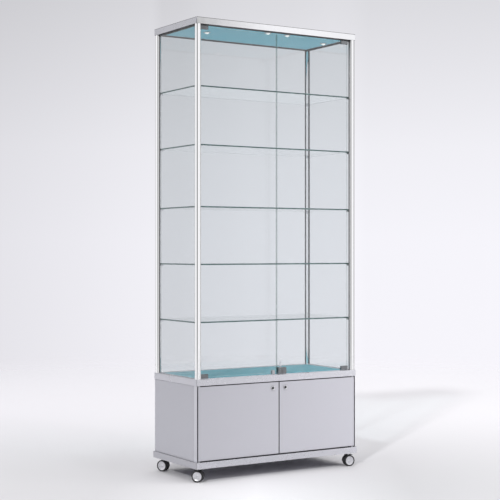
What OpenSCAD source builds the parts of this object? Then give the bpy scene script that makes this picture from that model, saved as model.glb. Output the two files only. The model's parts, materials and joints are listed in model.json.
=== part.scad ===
// Glazed display cabinet on castors, with a storage cupboard below.
// Millimetres, +Z up. The origin is on the floor, under the middle of the cabinet.
// The front faces -Y. Corner parts are drawn for the front left corner and mirrored.

/* [Overall] */
// Cupboard width, outside the side boards
body_w = 836; // [760:2:1100]
// Cupboard depth, from door face to back board
body_d = 378; // [340:2:480]
// Height from the floor to the top frame
overall_h = 1980; // [1800:10:2200]
// Height of the castors, from the floor to the base frame
castor_h = 61; // [61:1:70]
// Height of the storage cupboard between its two frames
cupboard_h = 324; // [280:2:400]

/* [Frame rails] */
// Height of every frame rail
rail_h = 28; // [28:1:36]
// Width of every frame rail, seen from above
rail_w = 32; // [32:1:40]
// Wall of the hollow rails
rail_wall = 2; // [1.5:0.25:2.5]
// How far the middle and top frames stand out past the cupboard
frame_lip = 2; // [1:0.5:4]
// How far the base frame stands out past the cupboard
base_lip = 6; // [5:0.5:10]
// Width of the ledge inside each frame that carries a panel
ledge_w = 6; // [5:1:10]
// Thickness of those ledges
ledge_t = 2; // [1.5:0.25:3]
// Gap between two rails at a mitred corner
mitre_gap = 0.3; // [0.2:0.1:0.6]
// Length of each arm of a corner key
key_arm = 34; // [24:2:50]

/* [Posts and fixed glass] */
// Diameter of the round corner posts
post_d = 27; // [27:1:30]
// From the cupboard faces to the post centres
post_inset = 12.5; // [12:0.5:15]
// Width of the glazing slots
slot_w = 8; // [7.5:0.5:9]
// Depth of the glazing slots in the posts
slot_depth = 7.5; // [7:0.5:8]
// Depth of the glazing grooves in the rails
groove_depth = 9; // [8:0.5:10]
// Diameter of the screw port along each post
post_port_d = 7; // [5:0.5:7]
// Glass thickness of sides, back and doors
glass_t = 5; // [4:0.5:6]

/* [Shelves] */
// Thickness of the glass shelves
shelf_t = 6; // [5:0.5:8]
// Underside of shelf 1 above the display floor
shelf_1_h = 237; // [180:1:300]
// Underside of shelf 2 above the display floor
shelf_2_h = 485; // [430:1:540]
// Underside of shelf 3 above the display floor
shelf_3_h = 732; // [680:1:780]
// Underside of shelf 4 above the display floor
shelf_4_h = 997; // [900:1:1050]
// Underside of shelf 5 above the display floor
shelf_5_h = 1248; // [1150:1:1300]
// Height of the small blocks that carry the shelves
clip_h = 7; // [5:1:10]
// Width of those blocks
clip_w = 8; // [6:1:9]

/* [Panels] */
// Thickness of the coloured display floor
floor_panel_t = 10; // [8:1:12]
// Thickness of the coloured ceiling panel
ceiling_t = 6; // [4:1:8]
// Thickness of the roof panel
roof_t = 4; // [3:0.5:5]
// Thickness of the cupboard boards and doors
board_t = 18; // [16:1:19]

/* [Glass doors] */
// From the cupboard front to the middle of the door glass
door_plane = 22; // [20:0.5:22]
// From the cupboard side to the hinge pin
glass_pivot_x = 35; // [35:0.5:40]
// Glass past the hinge pin, towards the post
glass_overhang = 5.5; // [4.5:0.25:6]
// Gap between the two glass doors, and between the two cupboard doors
meeting_gap = 4.5; // [2:0.5:6]
// Length of a hinge clamp
clamp_w = 37; // [32:1:45]
// Height of a hinge clamp
clamp_h = 18; // [16:1:24]
// Depth of a hinge clamp
clamp_d = 11; // [10:0.5:12]
// Width of the glass lock
lock_w = 43; // [38:1:50]
// Height of the glass lock
lock_h = 29; // [26:1:36]

/* [Cupboard doors] */
// Front lip of the edge trims beside the doors
trim_t = 1.5; // [1:0.25:2]
// Depth of the edge trims on the cupboard sides
trim_d = 22; // [22:0.5:26]
// Gap between a door and the lip of its trim
side_gap = 4; // [4:0.5:6]
// Gap above the doors
top_gap = 4; // [3:0.5:6]
// Gap below the doors
bottom_gap = 3.5; // [3:0.5:6]
// From the door edges to the hinge pins
pin_inset = 7.5; // [6.5:0.25:7.5]
// From the middle of the cupboard to each lock
lock_offset = 33; // [28:1:60]
// From the top of the cupboard down to the locks
lock_drop = 29; // [27:1:29]

/* [Lights] */
// Diameter of the light lenses
lens_d = 20; // [16:1:24]
// Diameter of the bezels around them
bezel_d = 32; // [28:1:40]

/* [Castors] */
// Diameter of the castor wheels
wheel_d = 50; // [44:1:50]
// Width of one wheel of a pair
wheel_w = 8; // [8:0.5:14]
// From the swivel axis to the wheel axle, level
trail = 15; // [13:0.5:16]
// Swivel axes in from the cupboard sides
castor_inset_x = 36; // [36:1:60]
// Front swivel axes in from the cupboard front
castor_inset_front = 25; // [25:1:40]
// Back swivel axes in from the cupboard back
castor_inset_back = 38; // [38:1:50]
// Which way the front left castor trails
castor_fl_turn = 134; // [0:1:359]
// Which way the front right castor trails
castor_fr_turn = 350; // [0:1:359]
// Which way the back left castor trails
castor_bl_turn = 119; // [0:1:359]
// Which way the back right castor trails
castor_br_turn = 200; // [0:1:359]

/* [Hidden] */
$fn = 64;

// Clearances
slip = 0.05;       // radial clearance of pins and plugs in their bores
seat = 0.1;        // around parts that sit in a slot
play = 0.3;        // between parts that move past each other
panel_gap = 0.5;   // around the panels in their frames
far = 5000;        // longer than the cabinet

// Heights
base_z = castor_h;
cupboard_z = base_z + rail_h;
mid_z = cupboard_z + cupboard_h;
display_z = mid_z + rail_h;
top_z = overall_h - rail_h;
display_h = top_z - display_z;

// Frame outlines
frame_w = body_w + 2 * frame_lip;
frame_d = body_d + 2 * frame_lip;
base_w = body_w + 2 * base_lip;
base_d = body_d + 2 * base_lip;
groove_u = post_inset + frame_lip;   // from a frame's outer face to its groove
groove_web = 1.5;                    // wall round a groove
roof_drop = 1;                       // roof panel below the top of the frame

// Glass
pane_edge = post_inset + post_d / 2 - slot_depth + 1;
pane_dip = groove_depth - 1;
pane_in = post_inset + glass_t / 2;  // from a cupboard face to the glass inside
shelf_gap = 2.5;                     // between a shelf and the side glass
shelf_front = door_plane + norm([glass_overhang, glass_t / 2]) + play;  // clear of the turning doors
shelf_h = [shelf_1_h, shelf_2_h, shelf_3_h, shelf_4_h, shelf_5_h];
clip_turn_front = 52;                // keeps the front blocks clear of the doors
clip_turn_back = 45;
clip_reach = 25;

// Pivots of the glass doors
pin_d = 6;
clamp_gap = 1.5;                     // between a clamp and its frame
clamp_base = 6;                      // solid part of a clamp under the glass
pane_lift = clamp_gap + clamp_base + 0.2;
clamp_bore = 5.2;
pin_in_rail = 7;

// Glass lock
lock_front = 10;                     // front shell, ahead of the glass
lock_back = 3;                       // back plate, behind the glass
lock_plug_d = 12;
glass_hole_d = 14;
cam_t = 2;
cam_w = 8;
lock_cam = 39.5;
strike_w = 14;
strike_h = 17;
strike_t = 2;
strike_x = 8;                        // from the meeting edge to the strike
strike_lift = 3;                     // from the display floor up to the back of the strike

// Cupboard doors
storage_top = mid_z - top_gap;
storage_bottom = cupboard_z + bottom_gap;
storage_pin_x = trim_t + side_gap + pin_inset;
storage_pin_bore = 12;
stop_drop = 12;
stop_t = 2;
stop_flange = 5;                     // glued to the middle frame
stop_inset = 26;                     // stop strip in from the cupboard sides
barrel_d = 16;
barrel_flange_d = 21;
barrel_flange_t = 3.5;
barrel_nut_d = 22;
barrel_nut_t = 3;
barrel_out = 5;                      // barrel behind the door
plug_d = 11;
storage_cam = 24;
lock_z = mid_z - lock_drop;

// Lights
can_d = 24;
can_h = 9;
bezel_t = 2;
lens_drop = 6;
light_spots = [[157, 186], [394, 54], [500, 60], [body_w - 66, 160]];  // from left and front
driver_w = 120;
driver_d = 40;
driver_h = 13;
driver_back = 46;                    // from the driver's back to the cupboard back
driver_y = body_d - driver_back - driver_d;  // front of the driver, from the cupboard front
wire_d = 3;
wire_starts = [-46, -23, 22, 46];    // from the middle of the driver
inlet_w = 24;
inlet_h = 13;
inlet_wall = 2.5;
inlet_depth = 12;
inlet_flange = 2;
inlet_pin_d = 2.4;
inlet_pin_gap = 8.6;
inlet_z = top_z + groove_depth + groove_web + 1.5 + inlet_h / 2;

// Castors
wheel_r = wheel_d / 2;
web_t = 12.4;
wheel_in = web_t / 2 + play;         // inner face of each wheel
wheel_out = wheel_in + wheel_w;
hub_r = wheel_r - 5;
axle_d = 6;
hood_gap = 0.6;
hood_t = 1;
hood_r = wheel_r + hood_gap + hood_t;
stem_d = 8;
plate_w = 42;
plate_t = 2.5;
collar_d = 16;
boss_top = castor_h - 4.6;
collar_z = boss_top + play;
stem_z = wheel_r + 7;
plate_screw_d = 4;
pedal_x = 7;                         // pedal pivot past the axle
pedal_z = 17.5;                      // pedal pivot above the axle
pedal_pin_d = 2.4;
pedal_hub_r = 3;

// Helpers

// Mirrors what belongs on the right
module flip_x(on) {
    if (on) mirror([1, 0, 0]) children();
    else children();
}

// Mirrors what belongs at the back
module flip_y(on) {
    if (on) mirror([0, 1, 0]) children();
    else children();
}

// Moves to a corner of the cupboard; x runs inwards, y runs inwards
module corner(right, back) {
    flip_x(right) flip_y(back) translate([-body_w / 2, -body_d / 2, 0]) children();
}

// The four corners in turn
module corners() {
    for (right = [false, true])
        for (back = [false, true])
            corner(right, back) children();
}

// A cylinder lying along Y
module rod_y(d, from, to) {
    translate([0, from, 0]) rotate([-90, 0, 0]) cylinder(d = d, h = to - from);
}

// Frame rails

// Cavity of a rail with no groove, u inwards and v upwards
module plain_cavity() {
    translate([rail_wall, rail_wall])
        square([rail_w - 2 * rail_wall, rail_h - 2 * rail_wall]);
}

// Cavity of a rail that bends round a groove in its lower face
module grooved_cavity() {
    u0 = groove_u - slot_w / 2 - groove_web;
    u1 = groove_u + slot_w / 2 + groove_web;
    difference() {
        plain_cavity();
        translate([u0, 0]) square([u1 - u0, groove_depth + groove_web]);
    }
}

// Groove in the lower face of a rail
module groove() {
    translate([groove_u - slot_w / 2, -1]) square([slot_w, groove_depth + 1]);
}

module ledge(v) {
    translate([rail_w - 0.01, v]) square([ledge_w + 0.01, ledge_t]);
}

module base_profile() {
    difference() {
        square([rail_w, rail_h]);
        plain_cavity();
    }
    ledge(board_t);
}

module top_profile(grooved) {
    difference() {
        square([rail_w, rail_h]);
        if (grooved) grooved_cavity();
        else plain_cavity();
        if (grooved) groove();
    }
    ledge(0);
    ledge(rail_h - roof_drop - roof_t - ledge_t);
}

module mid_profile(grooved) {
    translate([0, rail_h]) mirror([0, 1]) difference() {
        square([rail_w, rail_h]);
        if (grooved) grooved_cavity();
        else plain_cavity();
        if (grooved) groove();
    }
    ledge(rail_h - floor_panel_t - ledge_t);
}

// A mitred rail along X, its outer face at y = 0
module rail(long) {
    deep = rail_w + ledge_w + 1;
    half = long / 2 - mitre_gap / 2;
    intersection() {
        rotate([90, 0, 90]) translate([0, 0, -long / 2]) linear_extrude(long) children();
        translate([0, 0, -1]) linear_extrude(rail_h + 2)
            polygon([[-half, 0], [half, 0], [half - deep, deep], [-half + deep, deep]]);
    }
}

// Four rails round an outline: the front rail is children(0), the rest children(1)
module frame(w, d) {
    translate([0, -d / 2, 0]) rail(w) children(0);
    translate([0, d / 2, 0]) rotate([0, 0, 180]) rail(w) children(1);
    translate([-w / 2, 0, 0]) rotate([0, 0, -90]) rail(d) children(1);
    translate([w / 2, 0, 0]) rotate([0, 0, 90]) rail(d) children(1);
}

module base_frame_rails() {
    color("silver") difference() {
        translate([0, 0, base_z]) frame(base_w, base_d) {
            base_profile();
            base_profile();
        }
        corners() storage_pin_hole();
        castor_spots() plate_screws(plate_screw_d / 2 + slip);
    }
}

module mid_frame_rails() {
    color("silver") difference() {
        translate([0, 0, mid_z]) frame(frame_w, frame_d) {
            mid_profile(false);
            mid_profile(true);
        }
        corners() storage_pin_hole();
        corners() glass_pin_hole();
        corners() dowel(display_z, slip);
    }
}

module top_frame_rails() {
    color("silver") difference() {
        translate([0, 0, top_z]) frame(frame_w, frame_d) {
            top_profile(false);
            top_profile(true);
        }
        corners() glass_pin_hole();
        corners() dowel(top_z, slip);
        inlet_box(seat);
    }
}

// Frame fixings

// Dowel in the post's screw port, half in the rail at height z
module dowel(z, grow) {
    into_post = 14;
    into_rail = groove_depth;
    low = z > display_z ? into_post : into_rail;
    high = z > display_z ? into_rail : into_post;
    translate([post_inset, post_inset, z - low])
        cylinder(d = post_port_d - 2 * slip + 2 * grow, h = low + high);
}

// L-shaped key inside a frame corner, lip being the frame's own
module corner_key(lip, z0, z1) {
    in = rail_wall + seat;
    out = rail_w - rail_wall - seat;
    translate([-lip + in, -lip + in, z0]) {
        cube([out - in + key_arm, out - in, z1 - z0]);
        cube([out - in, out - in + key_arm, z1 - z0]);
    }
}

module frame_fixings() {
    key_low = rail_wall + 4;
    color("dimgray") corners() {
        corner_key(base_lip, base_z + rail_wall + 3, cupboard_z - rail_wall - 6);
        corner_key(frame_lip, mid_z + key_low, display_z - groove_depth - groove_web - 0.5);
        corner_key(frame_lip, top_z + groove_depth + groove_web + 0.5, overall_h - key_low);
        dowel(display_z, 0);
        dowel(top_z, 0);
    }
}

// Posts and fixed glass

// One corner post, the same bar at all four corners: a slot along each side of the cabinet
module post() {
    mouth = post_d / 2 - slot_depth;
    translate([post_inset, post_inset, display_z]) difference() {
        cylinder(d = post_d, h = display_h);
        translate([0, 0, -1]) cylinder(d = post_port_d, h = display_h + 2);
        translate([-slot_w / 2, mouth, -1]) cube([slot_w, slot_depth + 1, display_h + 2]);
        translate([mouth, -slot_w / 2, -1]) cube([slot_depth + 1, slot_w, display_h + 2]);
    }
}

module post_front_left() { color("gainsboro") corner(false, false) post(); }
module post_front_right() { color("gainsboro") corner(true, false) post(); }
module post_back_left() { color("gainsboro") corner(false, true) post(); }
module post_back_right() { color("gainsboro") corner(true, true) post(); }

module side_glass(right) {
    flip_x(right) translate([-body_w / 2, -body_d / 2, 0])
        translate([post_inset - glass_t / 2, pane_edge, display_z - pane_dip])
            cube([glass_t, body_d - 2 * pane_edge, display_h + 2 * pane_dip]);
}

module side_glass_left() { color("lightcyan") side_glass(false); }
module side_glass_right() { color("lightcyan") side_glass(true); }

module back_glass() {
    color("lightcyan") corner(false, true)
        translate([pane_edge, post_inset - glass_t / 2, display_z - pane_dip])
            cube([body_w - 2 * pane_edge, glass_t, display_h + 2 * pane_dip]);
}

// Seals of a pane that stands at x = post_inset and runs along y for a length
module pane_seals(long) {
    strip = (slot_w - glass_t) / 2 - 2 * slip;
    from = post_inset + post_d / 2 + 0.5;
    for (s = [-1, 1])
        translate([post_inset + s * (glass_t / 2 + slip + strip / 2) - strip / 2, 0, 0]) {
            for (end = [0, 1])
                translate([0, end * long, 0]) mirror([0, end, 0])
                    translate([0, from - 0.5 - slot_depth + 0.3, display_z + play])
                        cube([strip, slot_depth, display_h - 2 * play]);
            for (z = [display_z - groove_depth + 0.5, top_z])
                translate([0, from, z]) cube([strip, long - 2 * from, groove_depth - 0.5]);
        }
}

module glazing_seals() {
    color([0.25, 0.26, 0.27]) {
        corner(false, false) pane_seals(body_d);
        corner(true, false) pane_seals(body_d);
        corner(false, true) mirror([1, -1, 0]) pane_seals(body_w);
    }
}

// Shelves

module shelf(n) {
    side = pane_in + shelf_gap;
    notch = post_d / 2 + 2;
    color([0.75, 0.88, 0.85, 0.6]) difference() {
        corner(false, false) translate([side, shelf_front, display_z + shelf_h[n - 1]])
            cube([body_w - 2 * side, body_d - shelf_front - side, shelf_t]);
        for (right = [false, true])
            corner(right, true) translate([post_inset, post_inset, 0]) cylinder(r = notch, h = far);
    }
}

module shelf_1() { shelf(1); }
module shelf_2() { shelf(2); }
module shelf_3() { shelf(3); }
module shelf_4() { shelf(4); }
module shelf_5() { shelf(5); }

// Block on a post that carries one shelf corner
module shelf_clip(turn) {
    translate([post_inset, post_inset, -clip_h]) difference() {
        rotate([0, 0, turn]) translate([0, -clip_w / 2, 0]) cube([clip_reach, clip_w, clip_h]);
        translate([0, 0, -1]) cylinder(d = post_d + 2 * slip, h = clip_h + 2);
    }
}

module shelf_supports() {
    color("dimgray") for (h = shelf_h, right = [false, true]) translate([0, 0, display_z + h]) {
        corner(right, false) shelf_clip(clip_turn_front);
        corner(right, true) shelf_clip(clip_turn_back);
    }
}

// Panels

// A panel that fits inside a frame of outer size w by d
module inset_panel(w, d, t) {
    in = rail_w + panel_gap;
    translate([-w / 2 + in, -d / 2 + in, 0]) cube([w - 2 * in, d - 2 * in, t]);
}

module display_floor() {
    color([0.50, 0.64, 0.70])
        translate([0, 0, display_z - floor_panel_t]) inset_panel(frame_w, frame_d, floor_panel_t);
}

module ceiling_panel() {
    color([0.50, 0.64, 0.70]) difference() {
        translate([0, 0, top_z + ledge_t]) inset_panel(frame_w, frame_d, ceiling_t);
        at_lights() cylinder(d = can_d + 2 * seat, h = far, center = true);
    }
}

module roof_panel() {
    color("lightgray")
        translate([0, 0, overall_h - roof_drop - roof_t]) inset_panel(frame_w, frame_d, roof_t);
}

// Lights

module at_lights() {
    for (p = light_spots) translate([p[0] - body_w / 2, p[1] - body_d / 2, top_z + ledge_t])
        children();
}

// Can above the ceiling and bezel below it
module downlights() {
    color("silver") at_lights() difference() {
        union() {
            cylinder(d = can_d, h = ceiling_t + can_h);
            translate([0, 0, -bezel_t]) cylinder(d = bezel_d, h = bezel_t);
        }
        translate([0, 0, -bezel_t - 1]) cylinder(d = lens_d + 2 * seat, h = bezel_t + 3);
    }
}

// Domed lens that stands proud of the bezel
module downlight_lenses() {
    rise = lens_drop;
    r = (lens_d * lens_d / 4 + rise * rise) / (2 * rise);
    color("white") at_lights() {
        translate([0, 0, -bezel_t]) cylinder(d = lens_d, h = bezel_t + 1.7);
        translate([0, 0, -bezel_t]) intersection() {
            translate([0, 0, r - rise]) sphere(r = r);
            translate([0, 0, -rise]) cylinder(d = lens_d, h = rise);
        }
    }
}

module led_driver() {
    color("white") translate([-driver_w / 2, -body_d / 2 + driver_y, top_z + ledge_t + ceiling_t])
        cube([driver_w, driver_d, driver_h]);
}

// Space in the back rail that the inlet fills
module inlet_box(grow) {
    translate([-inlet_w / 2 - grow, frame_d / 2 - rail_w - grow, inlet_z - inlet_h / 2 - grow])
        cube([inlet_w + 2 * grow, rail_w + 1, inlet_h + 2 * grow]);
}

// Two-pin socket in the back rail
module power_inlet() {
    z = inlet_z;
    color([0.15, 0.15, 0.16]) {
        difference() {
            union() {
                intersection() {
                    inlet_box(0);
                    translate([-far / 2, -far, 0]) cube([far, far + frame_d / 2, far]);
                }
                translate([-inlet_w / 2 - 2, frame_d / 2, z - inlet_h / 2 - 2])
                    cube([inlet_w + 4, inlet_flange, inlet_h + 4]);
            }
            translate([-inlet_w / 2 + inlet_wall, frame_d / 2 + inlet_flange - inlet_depth,
                       z - inlet_h / 2 + inlet_wall])
                cube([inlet_w - 2 * inlet_wall, inlet_depth + 1, inlet_h - 2 * inlet_wall]);
        }
        for (s = [-1, 1])
            translate([s * inlet_pin_gap / 2, 0, z])
                rod_y(inlet_pin_d, frame_d / 2 + inlet_flange - inlet_depth - 1, frame_d / 2);
    }
}

// A wire with one bend, from the driver's front to the side of a light
module wire(start, spot) {
    y0 = -body_d / 2 + driver_y;
    light = [spot[0] - body_w / 2, spot[1] - body_d / 2];
    side = light[0] < start ? 1 : -1;
    gap = can_d / 2 + slip;
    straight = abs(light[0] - start) < can_d;
    translate([0, 0, top_z + ledge_t + ceiling_t + wire_d / 2]) {
        if (straight)
            translate([start, 0, 0]) rod_y(wire_d, light[1] + gap, y0);
        else {
            translate([start, 0, 0]) rod_y(wire_d, light[1], y0);
            translate([start, light[1], 0]) sphere(d = wire_d);
            translate([light[0] + side * gap, light[1], 0]) rotate([0, side * 90, 0])
                cylinder(d = wire_d, h = abs(light[0] - start) - gap);
        }
    }
}

module light_wires() {
    back = -body_d / 2 + driver_y + driver_d;
    inlet_front = frame_d / 2 - rail_w;
    color("white") {
        for (i = [0:3]) difference() {
            wire(wire_starts[i], light_spots[i]);
            at_lights() cylinder(d = can_d + 2 * slip, h = far, center = true);
        }
        translate([0, 0, inlet_z]) rod_y(4, back, inlet_front);
    }
}

// Glass doors

// Left edge of the left door and its free edge, from the cupboard side
door_edge = glass_pivot_x - glass_overhang;
free_edge = body_w / 2 - meeting_gap / 2;

// Steel pin of a glass door, upwards from the middle frame and down from the top
module glass_pin(z, up, grow) {
    s = up ? 1 : -1;
    long = pin_in_rail + clamp_gap + clamp_bore - play;
    translate([glass_pivot_x, door_plane, z]) {
        translate([0, 0, up ? -pin_in_rail : pin_in_rail - long])
            cylinder(d = pin_d + 2 * grow, h = long);
        translate([0, 0, up ? 0 : play - clamp_gap])
            cylinder(d = 2 * pin_d, h = clamp_gap - play);
    }
}

// Hole through a frame wall for that pin
module glass_pin_hole() {
    for (z = [display_z, top_z])
        translate([glass_pivot_x, door_plane, z])
            cylinder(d = pin_d + 2 * slip, h = 2 * rail_wall + 1, center = true);
}

module door_glass(right) {
    flip_x(right) corner(false, false)
        translate([door_edge, door_plane - glass_t / 2, display_z + pane_lift])
            cube([free_edge - door_edge, glass_t, display_h - 2 * pane_lift]);
}

module glass_door_left() { color([0.80, 0.90, 0.90, 0.5]) door_glass(false); }

module glass_door_right() {
    color([0.80, 0.90, 0.90, 0.5]) difference() {
        door_glass(true);
        lock_spot() rod_y(glass_hole_d, -20, 20);
    }
}

// U-shaped clamp on a glass corner, bored for the pin; drawn for the bottom
module clamp() {
    translate([door_edge, door_plane - clamp_d / 2, clamp_gap]) difference() {
        cube([clamp_w, clamp_d, clamp_h]);
        translate([-1, clamp_d / 2 - glass_t / 2 - seat, clamp_base])
            cube([clamp_w + 2, glass_t + 2 * seat, clamp_h]);
        translate([glass_overhang, clamp_d / 2, -1])
            cylinder(d = pin_d + 2 * slip, h = clamp_bore + 1);
    }
}

module door_clamps(right) {
    color("silver") corner(right, false) {
        translate([0, 0, display_z]) clamp();
        translate([0, 0, top_z]) mirror([0, 0, 1]) clamp();
    }
}

module glass_door_left_clamps() { door_clamps(false); }
module glass_door_right_clamps() { door_clamps(true); }

// Middle of the glass lock, on the plane of the door glass
module lock_spot() {
    translate([meeting_gap / 2 + play + lock_w / 2, -body_d / 2 + door_plane,
               display_z + clamp_gap + lock_h / 2])
        children();
}

// Chrome block that clamps the corner of the right door
module glass_lock_body() {
    front = -glass_t / 2 - seat;
    color("silver") lock_spot() difference() {
        translate([-lock_w / 2, front - lock_front, -lock_h / 2])
            cube([lock_w, lock_front + glass_t + 2 * seat + lock_back, lock_h]);
        translate([-lock_w / 2 - 1, front, -lock_h / 2 + clamp_base])
            cube([lock_w + 2, glass_t + 2 * seat, lock_h]);
        rod_y(lock_plug_d + 2 * slip, -30, 30);
    }
}

// Cylinder with its key slot, and the cam behind the glass
module glass_lock_plug() {
    front = -glass_t / 2 - seat - lock_front;
    back = glass_t / 2 + seat + lock_back;
    color("gray") lock_spot() difference() {
        union() {
            rod_y(lock_plug_d, front - 1, back + play + cam_t);
            translate([-cam_w / 2, back + play, 0]) cube([cam_w, cam_t, lock_cam]);
        }
        translate([-0.8, front - 2, -3.5]) cube([1.6, 7, 7]);
    }
}

// Strike on the left door; the lock's cam swings down into its rear channel
module glass_lock_strike() {
    in = glass_t / 2 + seat;
    x1 = body_w / 2 - meeting_gap / 2 - strike_x;
    channel = in + lock_back + play + cam_t + 0.6;
    color("silver") corner(false, false)
        translate([x1 - strike_w, door_plane, display_z + clamp_gap]) difference() {
            translate([0, -in - strike_t, 0])
                cube([strike_w, in + strike_t + channel + 1.5, strike_h]);
            translate([-1, -in, clamp_base]) cube([strike_w + 2, 2 * in, strike_h]);
            translate([-1, in + strike_t, clamp_base])
                cube([strike_w + 2, channel - in - strike_t, strike_h]);
            translate([-1, in + strike_t, -1])
                cube([strike_w + 2, channel, 1 + strike_lift - clamp_gap]);
        }
}

// Cupboard

module cabinet_side(right) {
    y0 = trim_d + trim_t;
    color([0.74, 0.74, 0.77]) corner(right, false)
        translate([0, y0, cupboard_z]) cube([board_t, body_d - y0, cupboard_h]);
}

module cabinet_side_left() { cabinet_side(false); }
module cabinet_side_right() { cabinet_side(true); }

module cabinet_back() {
    color([0.74, 0.74, 0.77])
        translate([-body_w / 2 + board_t, body_d / 2 - board_t, cupboard_z])
            cube([body_w - 2 * board_t, board_t, cupboard_h]);
}

// Board whose rebated edge lies under the ledges of the base frame, flush with their tops
module cabinet_floor() {
    color([0.74, 0.74, 0.77]) difference() {
        translate([0, 0, base_z]) union() {
            inset_panel(base_w, base_d, board_t);
            inset_panel(base_w - 2 * ledge_w, base_d - 2 * ledge_w, board_t + ledge_t);
        }
        castor_spots() plate_screws(plate_screw_d / 2 + slip);
    }
}

// Aluminium angles on the front edges of the sides, and the strip the doors close on
module cabinet_edge_trims() {
    color("silver") {
        for (right = [false, true]) corner(right, false) translate([0, 0, cupboard_z]) {
            cube([trim_t, trim_d + trim_t, cupboard_h]);
            translate([0, trim_d, 0]) cube([board_t, trim_t, cupboard_h]);
        }
        translate([-body_w / 2 + stop_inset, -body_d / 2 + board_t + 0.5, mid_z - stop_drop])
            cube([body_w - 2 * stop_inset, stop_t, stop_drop]);
        translate([-body_w / 2 + stop_inset, -body_d / 2 + board_t + 0.5, mid_z - stop_t])
            cube([body_w - 2 * stop_inset, stop_flange, stop_t]);
    }
}

// Hinge pin of a cupboard door, with the collar that spaces the door
module storage_pin(z, up, gap) {
    into_rail = rail_wall + 1.5;
    long = into_rail + gap + storage_pin_bore - 1;
    translate([storage_pin_x, pin_inset, z]) {
        translate([0, 0, up ? -into_rail : into_rail - long]) cylinder(d = pin_d, h = long);
        translate([0, 0, up ? 0 : play - gap]) cylinder(d = 2 * pin_d, h = gap - play);
    }
}

module storage_pin_hole() {
    for (z = [cupboard_z, mid_z])
        translate([storage_pin_x, pin_inset, z])
            cylinder(d = pin_d + 2 * slip, h = 2 * rail_wall + 4, center = true);
}

module door_pivot_pins() {
    color("dimgray") for (right = [false, true]) corner(right, false) {
        glass_pin(display_z, true, 0);
        glass_pin(top_z, false, 0);
        storage_pin(cupboard_z, true, bottom_gap);
        storage_pin(mid_z, false, top_gap);
    }
}

module storage_door(right) {
    edge = trim_t + side_gap;
    color([0.77, 0.77, 0.80]) corner(right, false) difference() {
        translate([edge, 0, storage_bottom])
            cube([free_edge - edge, board_t, storage_top - storage_bottom]);
        for (z = [storage_bottom, storage_top])
            translate([storage_pin_x, pin_inset, z])
                cylinder(d = pin_d + 2 * slip, h = 2 * storage_pin_bore, center = true);
        translate([body_w / 2 - lock_offset, 0, lock_z]) rod_y(barrel_d + 2 * slip, -1, board_t + 1);
    }
}

module storage_door_left() { storage_door(false); }
module storage_door_right() { storage_door(true); }

// Lock barrel with its front ring and its nut behind the door
module storage_lock_body(right) {
    color("silver") corner(right, false)
        translate([body_w / 2 - lock_offset, 0, lock_z]) difference() {
            union() {
                rod_y(barrel_flange_d, -barrel_flange_t, 0);
                rod_y(barrel_d, -1, board_t + barrel_out);
                rod_y(barrel_nut_d, board_t, board_t + barrel_nut_t);
            }
            rod_y(plug_d + 2 * slip, -barrel_flange_t - 1, board_t + barrel_out + 1);
        }
}

module storage_lock_left_body() { storage_lock_body(false); }
module storage_lock_right_body() { storage_lock_body(true); }

// Lock plug with its key slot and its cam, which lies outwards when unlocked
module storage_lock_plug(right) {
    cam_y = board_t + barrel_out + play;
    color("gray") corner(right, false)
        translate([body_w / 2 - lock_offset, 0, lock_z]) difference() {
            union() {
                rod_y(plug_d, -barrel_flange_t + 0.3, cam_y + cam_t);
                translate([-storage_cam, cam_y, -cam_w / 2]) cube([storage_cam, cam_t, cam_w]);
            }
            translate([-0.8, -barrel_flange_t - 1, -3.5]) cube([1.6, 7, 7]);
        }
}

module storage_lock_left_plug() { storage_lock_plug(false); }
module storage_lock_right_plug() { storage_lock_plug(true); }

// Castors

// The four swivel axes
module castor_spots() {
    for (right = [false, true])
        for (back = [false, true])
            corner(right, back)
                translate([castor_inset_x, back ? castor_inset_back : castor_inset_front, 0])
                    children();
}

module plate_screws(r) {
    for (x = [-1, 1], y = [-1, 1])
        translate([x * (plate_w / 2 - 4), y * (plate_w / 2 - 4), castor_h - plate_t - 1.5])
            cylinder(r = r, h = plate_t + 1.5 + rail_wall + 2);
}

// Plate with its swivel stem and four screws
module castor_plates() {
    color("dimgray") castor_spots() {
        translate([-plate_w / 2, -plate_w / 2, castor_h - plate_t]) cube([plate_w, plate_w, plate_t]);
        translate([0, 0, collar_z]) cylinder(d = collar_d, h = castor_h - plate_t - collar_z);
        translate([0, 0, stem_z]) cylinder(d = stem_d, h = castor_h - plate_t - stem_z);
        plate_screws(plate_screw_d / 2);
    }
}

// Web between the wheels, hood over them and boss for the stem; trails towards +X
module hood(brake) {
    color([0.12, 0.12, 0.13]) difference() {
        union() {
            intersection() {
                translate([trail, 0, wheel_r]) rod_y(2 * hood_r - hood_t, -web_t / 2, web_t / 2);
                translate([-far, -far, wheel_r - 9]) cube([far + trail + 1.5, 2 * far, far]);
            }
            difference() {
                translate([trail, 0, wheel_r]) rod_y(2 * hood_r, -wheel_out, wheel_out);
                translate([trail, 0, wheel_r])
                    rod_y(2 * (wheel_r + hood_gap), -wheel_out - 1, wheel_out + 1);
                translate([trail + 2, -far, -far]) cube(2 * far);
                translate([-far, -far, wheel_r - 3 - 2 * far]) cube(2 * far);
            }
            translate([0, 0, stem_z - 4]) cylinder(d = web_t - 0.4, h = boss_top - stem_z + 4);
            if (brake) pedal_cheeks();
        }
        translate([0, 0, stem_z - 1]) cylinder(d = stem_d + 2 * slip, h = far);
        translate([trail, 0, wheel_r]) rod_y(axle_d + 2 * slip, -web_t, web_t);
    }
}

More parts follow.
